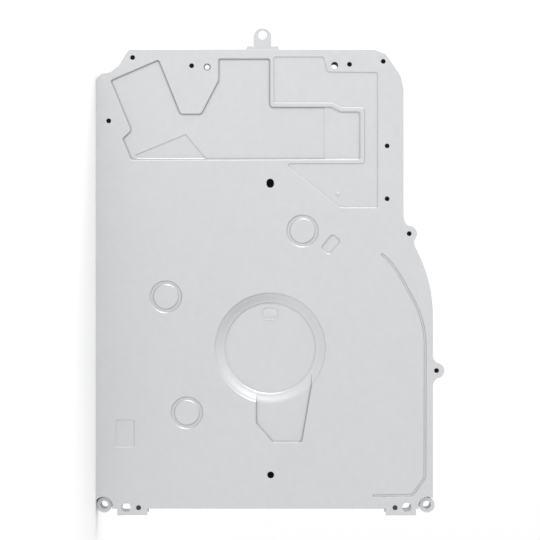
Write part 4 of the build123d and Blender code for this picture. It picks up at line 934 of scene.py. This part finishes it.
class DRIVE_OT_connectors(bpy.types.Operator):
    """Model the wire connector and the ribbon connector in the windows"""

    bl_idname = "drive.connectors"
    bl_label = "Connectors"

    def execute(self, context):
        cream = moulded("cream_nylon", (0.84, 0.79, 0.68), 0.42, 1800.0)
        # Painted shade: the faces inside the wire connector's hollow take a darker brown copy of the nylon
        hollow_shade = moulded("painted_hollow_shade", (0.62, 0.47, 0.27), 0.5, 1800.0)
        pale = moulded("pale_nylon", (0.78, 0.72, 0.68), 0.42, 1800.0)
        # Painted shade: the floors of the ribbon connector's two pits take a dark reddish copy of the nylon
        pit_shade = moulded("painted_pit_shade", (0.36, 0.17, 0.12), 0.5, 1800.0)
        dark = moulded("latch_plastic", (0.02, 0.02, 0.022), 0.4, 1800.0)
        tin = bright_metal("tinned_contact", (0.74, 0.66, 0.48), 0.25)
        shell = block("wire_shell", mm(4.4, 12.2, 1.8), mm(0.0, 0.0, 0.9))
        ears = [block("wire_ear", mm(5.5, 1.9, 1.5), mm(0.0, y, 0.75)) for y in (-5.15, 5.15)]
        hollow = block("hollow", mm(2.7, 9.2, 1.6), mm(0.0, 0.0, 1.3))
        notches = [block("notch", mm(0.9, 1.0, 1.4), mm(-1.8, y, 1.7)) for y in (-3.0, 0.0, 3.0)]
        bites = [disc("bite", 0.6 * MM, 1.2 * MM, 20, mm(0.0, y, 1.7)) for y in (-6.2, 6.2)]
        weld(shell, *ears)
        carve(shell, hollow, *notches, *bites)
        soften(shell, 0.12 * MM)
        half_wide, half_deep = mm(1.36, 4.62)
        paint(shell, cream, hollow_shade)
        # The hollow's inner faces get the painted shade
        tint(shell, 1, lambda centre, normal: abs(centre.x) < half_wide and abs(centre.y) < half_deep)
        stand_on_board(shell, *WIRE_CONNECTOR)
        piece(shell, "housing", "wire_connector", "wire_connector")
        pins = []
        for y in spread(WIRE_POLES, WIRE_PITCH):
            pins.append(soften(block("pin", mm(0.46, 0.46, 1.5), mm(0.0, y, 0.9)), 0.08 * MM))
            pins.append(block("foot", mm(2.6, 0.5, 0.14), mm(-3.3, y, 0.12)))
        pins = stand_on_board(join("wire_pins", *pins), *WIRE_CONNECTOR)
        piece(paint(pins, tin), "housing", "wire_connector")
        ribbon = block("ribbon_body", mm(6.1, RIBBON_LENGTH, 1.2), mm(0.0, 0.0, 0.62))
        step_face(ribbon, mm(0.5, -0.12))
        pits = [disc("pit", 0.55 * MM, 0.8 * MM, 20, mm(-0.4, y, 1.0)) for y in (-6.4, 6.4)]
        ways = spread(RIBBON_WAYS, RIBBON_PITCH)
        mouths = [block("mouth", mm(0.9, 0.3, 0.5), mm(-3.0, y, 0.3)) for y in ways]
        carve(ribbon, join("cutters", *mouths), *pits)
        soften(ribbon, 0.07 * MM, 2, 50.0)
        pit_floors = [Vector(mm(-0.4, y, 0.8)) for y in (-6.4, 6.4)]
        paint(ribbon, pale, pit_shade)
        # The pits' floors get the painted shade
        tint(ribbon, 1, lambda centre, normal: min((centre - pit).length for pit in pit_floors) < 0.58 * MM)
        stand_on_board(ribbon, *RIBBON_CONNECTOR)
        piece(ribbon, "housing", "ribbon_connector", "ribbon_connector")
        tails = [block("tail", mm(1.1, 0.22, 0.12), mm(-3.3, y, 0.07)) for y in ways]
        contacts = stand_on_board(join("ribbon_contacts", *tails), *RIBBON_CONNECTOR)
        piece(paint(contacts, tin), "housing", "ribbon_connector")
        latch = block("ribbon_latch", mm(1.3, RIBBON_LENGTH, 0.9), mm(0.0, 0.0, 0.5))
        step_face(latch, mm(0.25, -0.12))
        soften(latch, 0.08 * MM)
        stand_on_board(latch, *RIBBON_LATCH)
        piece(paint(latch, dark), "housing", "ribbon_latch", "ribbon_latch")
        return {"FINISHED"}


class DRIVE_OT_slot(bpy.types.Operator):
    """Finish the slot frame and its felt"""

    bl_idname = "drive.slot"
    bl_label = "Disc slot"

    def execute(self, context):
        paint_node("slot_frame", moulded("slot_plastic", (0.022, 0.022, 0.025), 0.5))
        paint_node("felt_strips", felt("slot_felt", (0.02, 0.02, 0.024)))
        return {"FINISHED"}


LEAD_SCREW_FOOT = (13.9, -21.6, -1.3)


class DRIVE_OT_pickup(bpy.types.Operator):
    """Finish the pickup unit and model its screwed shaft"""

    bl_idname = "drive.pickup"
    bl_label = "Pickup unit"

    def execute(self, context):
        rod = bright_metal("ground_rod", (0.76, 0.76, 0.77), 0.16)
        paint_node("unit_base", zinc_sheet("unit_plate", (0.60, 0.60, 0.59), 0.4))
        paint_node("guide_rods", rod)
        paint_node("spindle_base", moulded("motor_laminate", (0.03, 0.05, 0.035), 0.4))
        paint_node("spindle_rotor", bright_metal("turned_aluminium", (0.70, 0.71, 0.72), 0.3))
        paint_node("turntable_ring", rubber("turntable_rubber", (0.04, 0.04, 0.042), 0.7))
        paint_node("sled_body", bright_metal("die_cast_zinc", (0.40, 0.40, 0.41), 0.5))
        paint_node("lens_holder", moulded("lens_holder_plastic", (0.02, 0.02, 0.022), 0.5))
        paint_node("lens", coated_lens("coated_lens", (0.10, 0.14, 0.30)))
        paint_node("feed_motor", zinc_sheet("feed_motor_can", (0.58, 0.58, 0.57), 0.35))
        shaft = thread(
            "lead_screw_fine", radius=1.08 * MM, pitch=0.5 * MM, length=47.9 * MM, depth=0.2 * MM
        )
        along_sled = UNIT_TURN @ Matrix.Rotation(QUARTER_TURN, 4, "Y")
        move(shaft, in_unit(*LEAD_SCREW_FOOT), along_sled)
        piece(paint(shaft, rod), "leadscrew", "lead_screw", "lead_screw")
        return {"FINISHED"}


class DRIVE_OT_clamp(bpy.types.Operator):
    """Finish the clamp arm, its hinge and the clamper"""

    bl_idname = "drive.clamp"
    bl_label = "Clamp"

    def execute(self, context):
        steel = bright_metal("pressed_steel", (0.56, 0.57, 0.58), 0.36, (1.0, 0.1, 1.0))
        for name in ("clamp_arm", "clamp_hinge", "lever_pivots", "gear_bracket"):
            paint_node(name, steel)
        paint_node("clamper", moulded("clamper_plastic", (0.08, 0.08, 0.085), 0.4))
        return {"FINISHED"}


class DRIVE_OT_loading(bpy.types.Operator):
    """Finish the loading drive and model the worm's thread"""

    bl_idname = "drive.loading"
    bl_label = "Loading drive"

    def execute(self, context):
        acetal = moulded("acetal", (0.78, 0.76, 0.70), 0.36)
        brass = bright_metal("turned_brass", (0.60, 0.42, 0.16), 0.24)
        for name in ("roller_gear", "worm_wheel", "cam_slide"):
            paint_node(name, acetal)
        for n in range(4):
            paint_node(f"idler_gear_{n + 1}", acetal)
        paint_node("feed_roller", rubber("roller_rubber", (0.05, 0.05, 0.055), 0.6))
        paint_node("roller_shaft", bright_metal("roller_shaft_steel", (0.72, 0.72, 0.73), 0.18))
        paint_node("roller_bearings", moulded("bearing_plastic", (0.05, 0.05, 0.055), 0.45))
        paint_node("slide_guide", moulded("guide_plastic", (0.05, 0.05, 0.055), 0.45))
        paint_node("loading_motor", zinc_sheet("loading_motor_can", (0.60, 0.60, 0.59), 0.32))
        low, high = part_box("worm")
        middle = (low + high) / 2
        screw = thread(
            "worm_fine", radius=1.58 * MM, pitch=1.2 * MM, length=11.0 * MM, depth=0.42 * MM, segments=18
        )
        foot = (middle.x, low.y, middle.z)
        rearward = Matrix.Rotation(-QUARTER_TURN, 4, "X")
        move(screw, foot, rearward)
        pin = move(disc("worm_shaft", 0.74 * MM, 17.0 * MM, 20, mm(0.0, 0.0, 8.5)), foot, rearward)
        made = join("worm_fine", pin, screw)
        piece(paint(made, brass), "drive_worm", "worm", "worm")
        return {"FINISHED"}


class DRIVE_OT_levers(bpy.types.Operator):
    """Finish the sensing levers and the inner chassis, add the locating pin, and put a black stub behind
    the pan's hole as painted shade
    """

    bl_idname = "drive.levers"
    bl_label = "Levers and chassis"

    def execute(self, context):
        grey = moulded("lever_plastic", (0.07, 0.07, 0.075), 0.42)
        paint_node("lever_high", grey)
        paint_node("lever_low", grey)
        black = moulded("chassis_plastic", (0.02, 0.02, 0.022), 0.5)
        paint_node("inner_chassis", black)
        # Painted shade: a black stub stands behind the hole in the pan so that the hole looks dark
        stub = disc("hole_shade_stub", 2.7 * MM, 1.9 * MM, 40)
        step_face(stub, mm(1.0, -1.0))
        soften(stub, 0.15 * MM)
        move(stub, at(*SHADE_BEHIND_HOLE, PAN_OUT + 1.85), TO_UNDERSIDE)
        piece(paint(stub, black), "housing", "inner_chassis")
        white = moulded("pin_plastic", (0.8, 0.79, 0.76), 0.4)
        pin = disc("locating_pin", 1.25 * MM, 9.2 * MM, 32)
        step_face(pin, mm(0.5, 0.12))
        soften(pin, 0.1 * MM)
        move(pin, at(*LOCATING_PIN, 4.7), TO_LABEL)
        piece(paint(pin, white), "housing", "inner_chassis")
        return {"FINISHED"}


SENSOR_WIDTH = 36.0
FLOOR_SIZE = 80.0
SKY_BEHIND_SLOT = 0.72
SKY_BEHIND_TAB = 1.4
LAMPS = (
    ("key_light", (-0.8, 1.2, 0.3), 0.5, 6.0),
    ("rear_light", (0.9, 0.9, 0.9), 0.8, 5.0),
)
LAMPS_AIM = (0.0, 0.0, 0.08)

# Columns: the picture's right is the frame's +z, its up is +y, and the camera looks along +x
CAMERA_TURN = Matrix(((0.0, 0.0, -1.0), (0.0, 1.0, 0.0), (1.0, 0.0, 0.0)))


class DRIVE_OT_stage(bpy.types.Operator):
    """Set the floor, the soft light and the camera"""

    bl_idname = "drive.stage"
    bl_label = "Stage"

    def execute(self, context):
        settings = context.scene.drive_stage
        select_none()
        bpy.ops.mesh.primitive_plane_add(size=FLOOR_SIZE, location=(0.0, 0.0, 0.0))
        floor = start("studio_floor")
        paper = Finish("pale_paper")
        fibre = paper.noise(scale=300.0, detail=3.0, roughness=0.5)
        paper.feed("Base Color", paper.mix(fibre, (0.93, 0.93, 0.93, 1.0), (0.96, 0.96, 0.96, 1.0)))
        paper.constant(roughness=0.9, specular=0.1)
        paint(floor, paper.material)
        floor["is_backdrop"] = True
        context.scene.world = bpy.data.worlds.new("studio")
        sky = Nodes(context.scene.world, "Background")
        way = sky.node("ShaderNodeTexCoord", {}, {}, "Generated")
        rearward = sky.node("ShaderNodeSeparateXYZ", {}, {0: way}, "Y")
        strength = sky.node(
            "ShaderNodeMapRange",
            {"interpolation_type": "SMOOTHSTEP"},
            {
                "Value": rearward,
                "From Min": -0.9,
                "From Max": 0.9,
                "To Min": settings.sky * SKY_BEHIND_SLOT,
                "To Max": settings.sky * SKY_BEHIND_TAB,
            },
        )
        sky.feed("Strength", strength)
        sky.shader.inputs["Color"].default_value = (1.0, 1.0, 1.0, 1.0)
        for name, spot, size, power in LAMPS:
            lamp = bpy.data.lights.new(name, "AREA")
            lamp.size = size
            lamp.energy = power
            stand = bpy.data.objects.new(name, lamp)
            context.collection.objects.link(stand)
            stand.location = spot
            stand.rotation_euler = (Vector(LAMPS_AIM) - Vector(spot)).to_track_quat("-Z", "Y").to_euler()
        low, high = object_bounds()
        middle = (Vector(low) + Vector(high)) / 2
        lens = bpy.data.cameras.new("camera")
        lens.lens = settings.lens
        lens.sensor_width = SENSOR_WIDTH
        lens.clip_start = 0.05
        away = settings.picture_height * settings.lens / SENSOR_WIDTH
        camera = bpy.data.objects.new("camera", lens)
        context.collection.objects.link(camera)
        spot = (low[0] - away, middle.y, middle.z)
        camera.matrix_world = Matrix.Translation(spot) @ CAMERA_TURN.to_4x4()
        context.scene.camera = camera
        context.scene.view_settings.view_transform = "Standard"
        return {"FINISHED"}


class DRIVE_PT_panel(bpy.types.Panel):
    """Lists the drive's pieces in the order in which they are made"""

    bl_label = "Console optical drive"
    bl_idname = "DRIVE_PT_panel"
    bl_space_type = "VIEW_3D"
    bl_region_type = "UI"
    bl_category = "Drive"

    def draw(self, context):
        for operator in OPERATORS:
            self.layout.operator(operator.bl_idname)


SETTINGS = (
    ("drive_sheet", SheetSettings),
    ("drive_fasteners", FastenerSettings),
    ("drive_stage", StageSettings),
)
OPERATORS = (
    DRIVE_OT_stage,
    DRIVE_OT_covers,
    DRIVE_OT_cover_screws,
    DRIVE_OT_mounts,
    DRIVE_OT_board,
    DRIVE_OT_connectors,
    DRIVE_OT_slot,
    DRIVE_OT_pickup,
    DRIVE_OT_clamp,
    DRIVE_OT_loading,
    DRIVE_OT_levers,
)


def register():
    for name, group in SETTINGS:
        bpy.utils.register_class(group)
        setattr(bpy.types.Scene, name, PointerProperty(type=group))
    for operator in OPERATORS:
        bpy.utils.register_class(operator)
    bpy.utils.register_class(DRIVE_PT_panel)


def unregister():
    bpy.utils.unregister_class(DRIVE_PT_panel)
    for operator in reversed(OPERATORS):
        bpy.utils.unregister_class(operator)
    for name, group in SETTINGS:
        delattr(bpy.types.Scene, name)
        bpy.utils.unregister_class(group)


def main():
    register()
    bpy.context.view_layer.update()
    for operator in OPERATORS:
        group, name = operator.bl_idname.split(".")
        getattr(getattr(bpy.ops, group), name)()


if __name__ == "__main__":
    main()
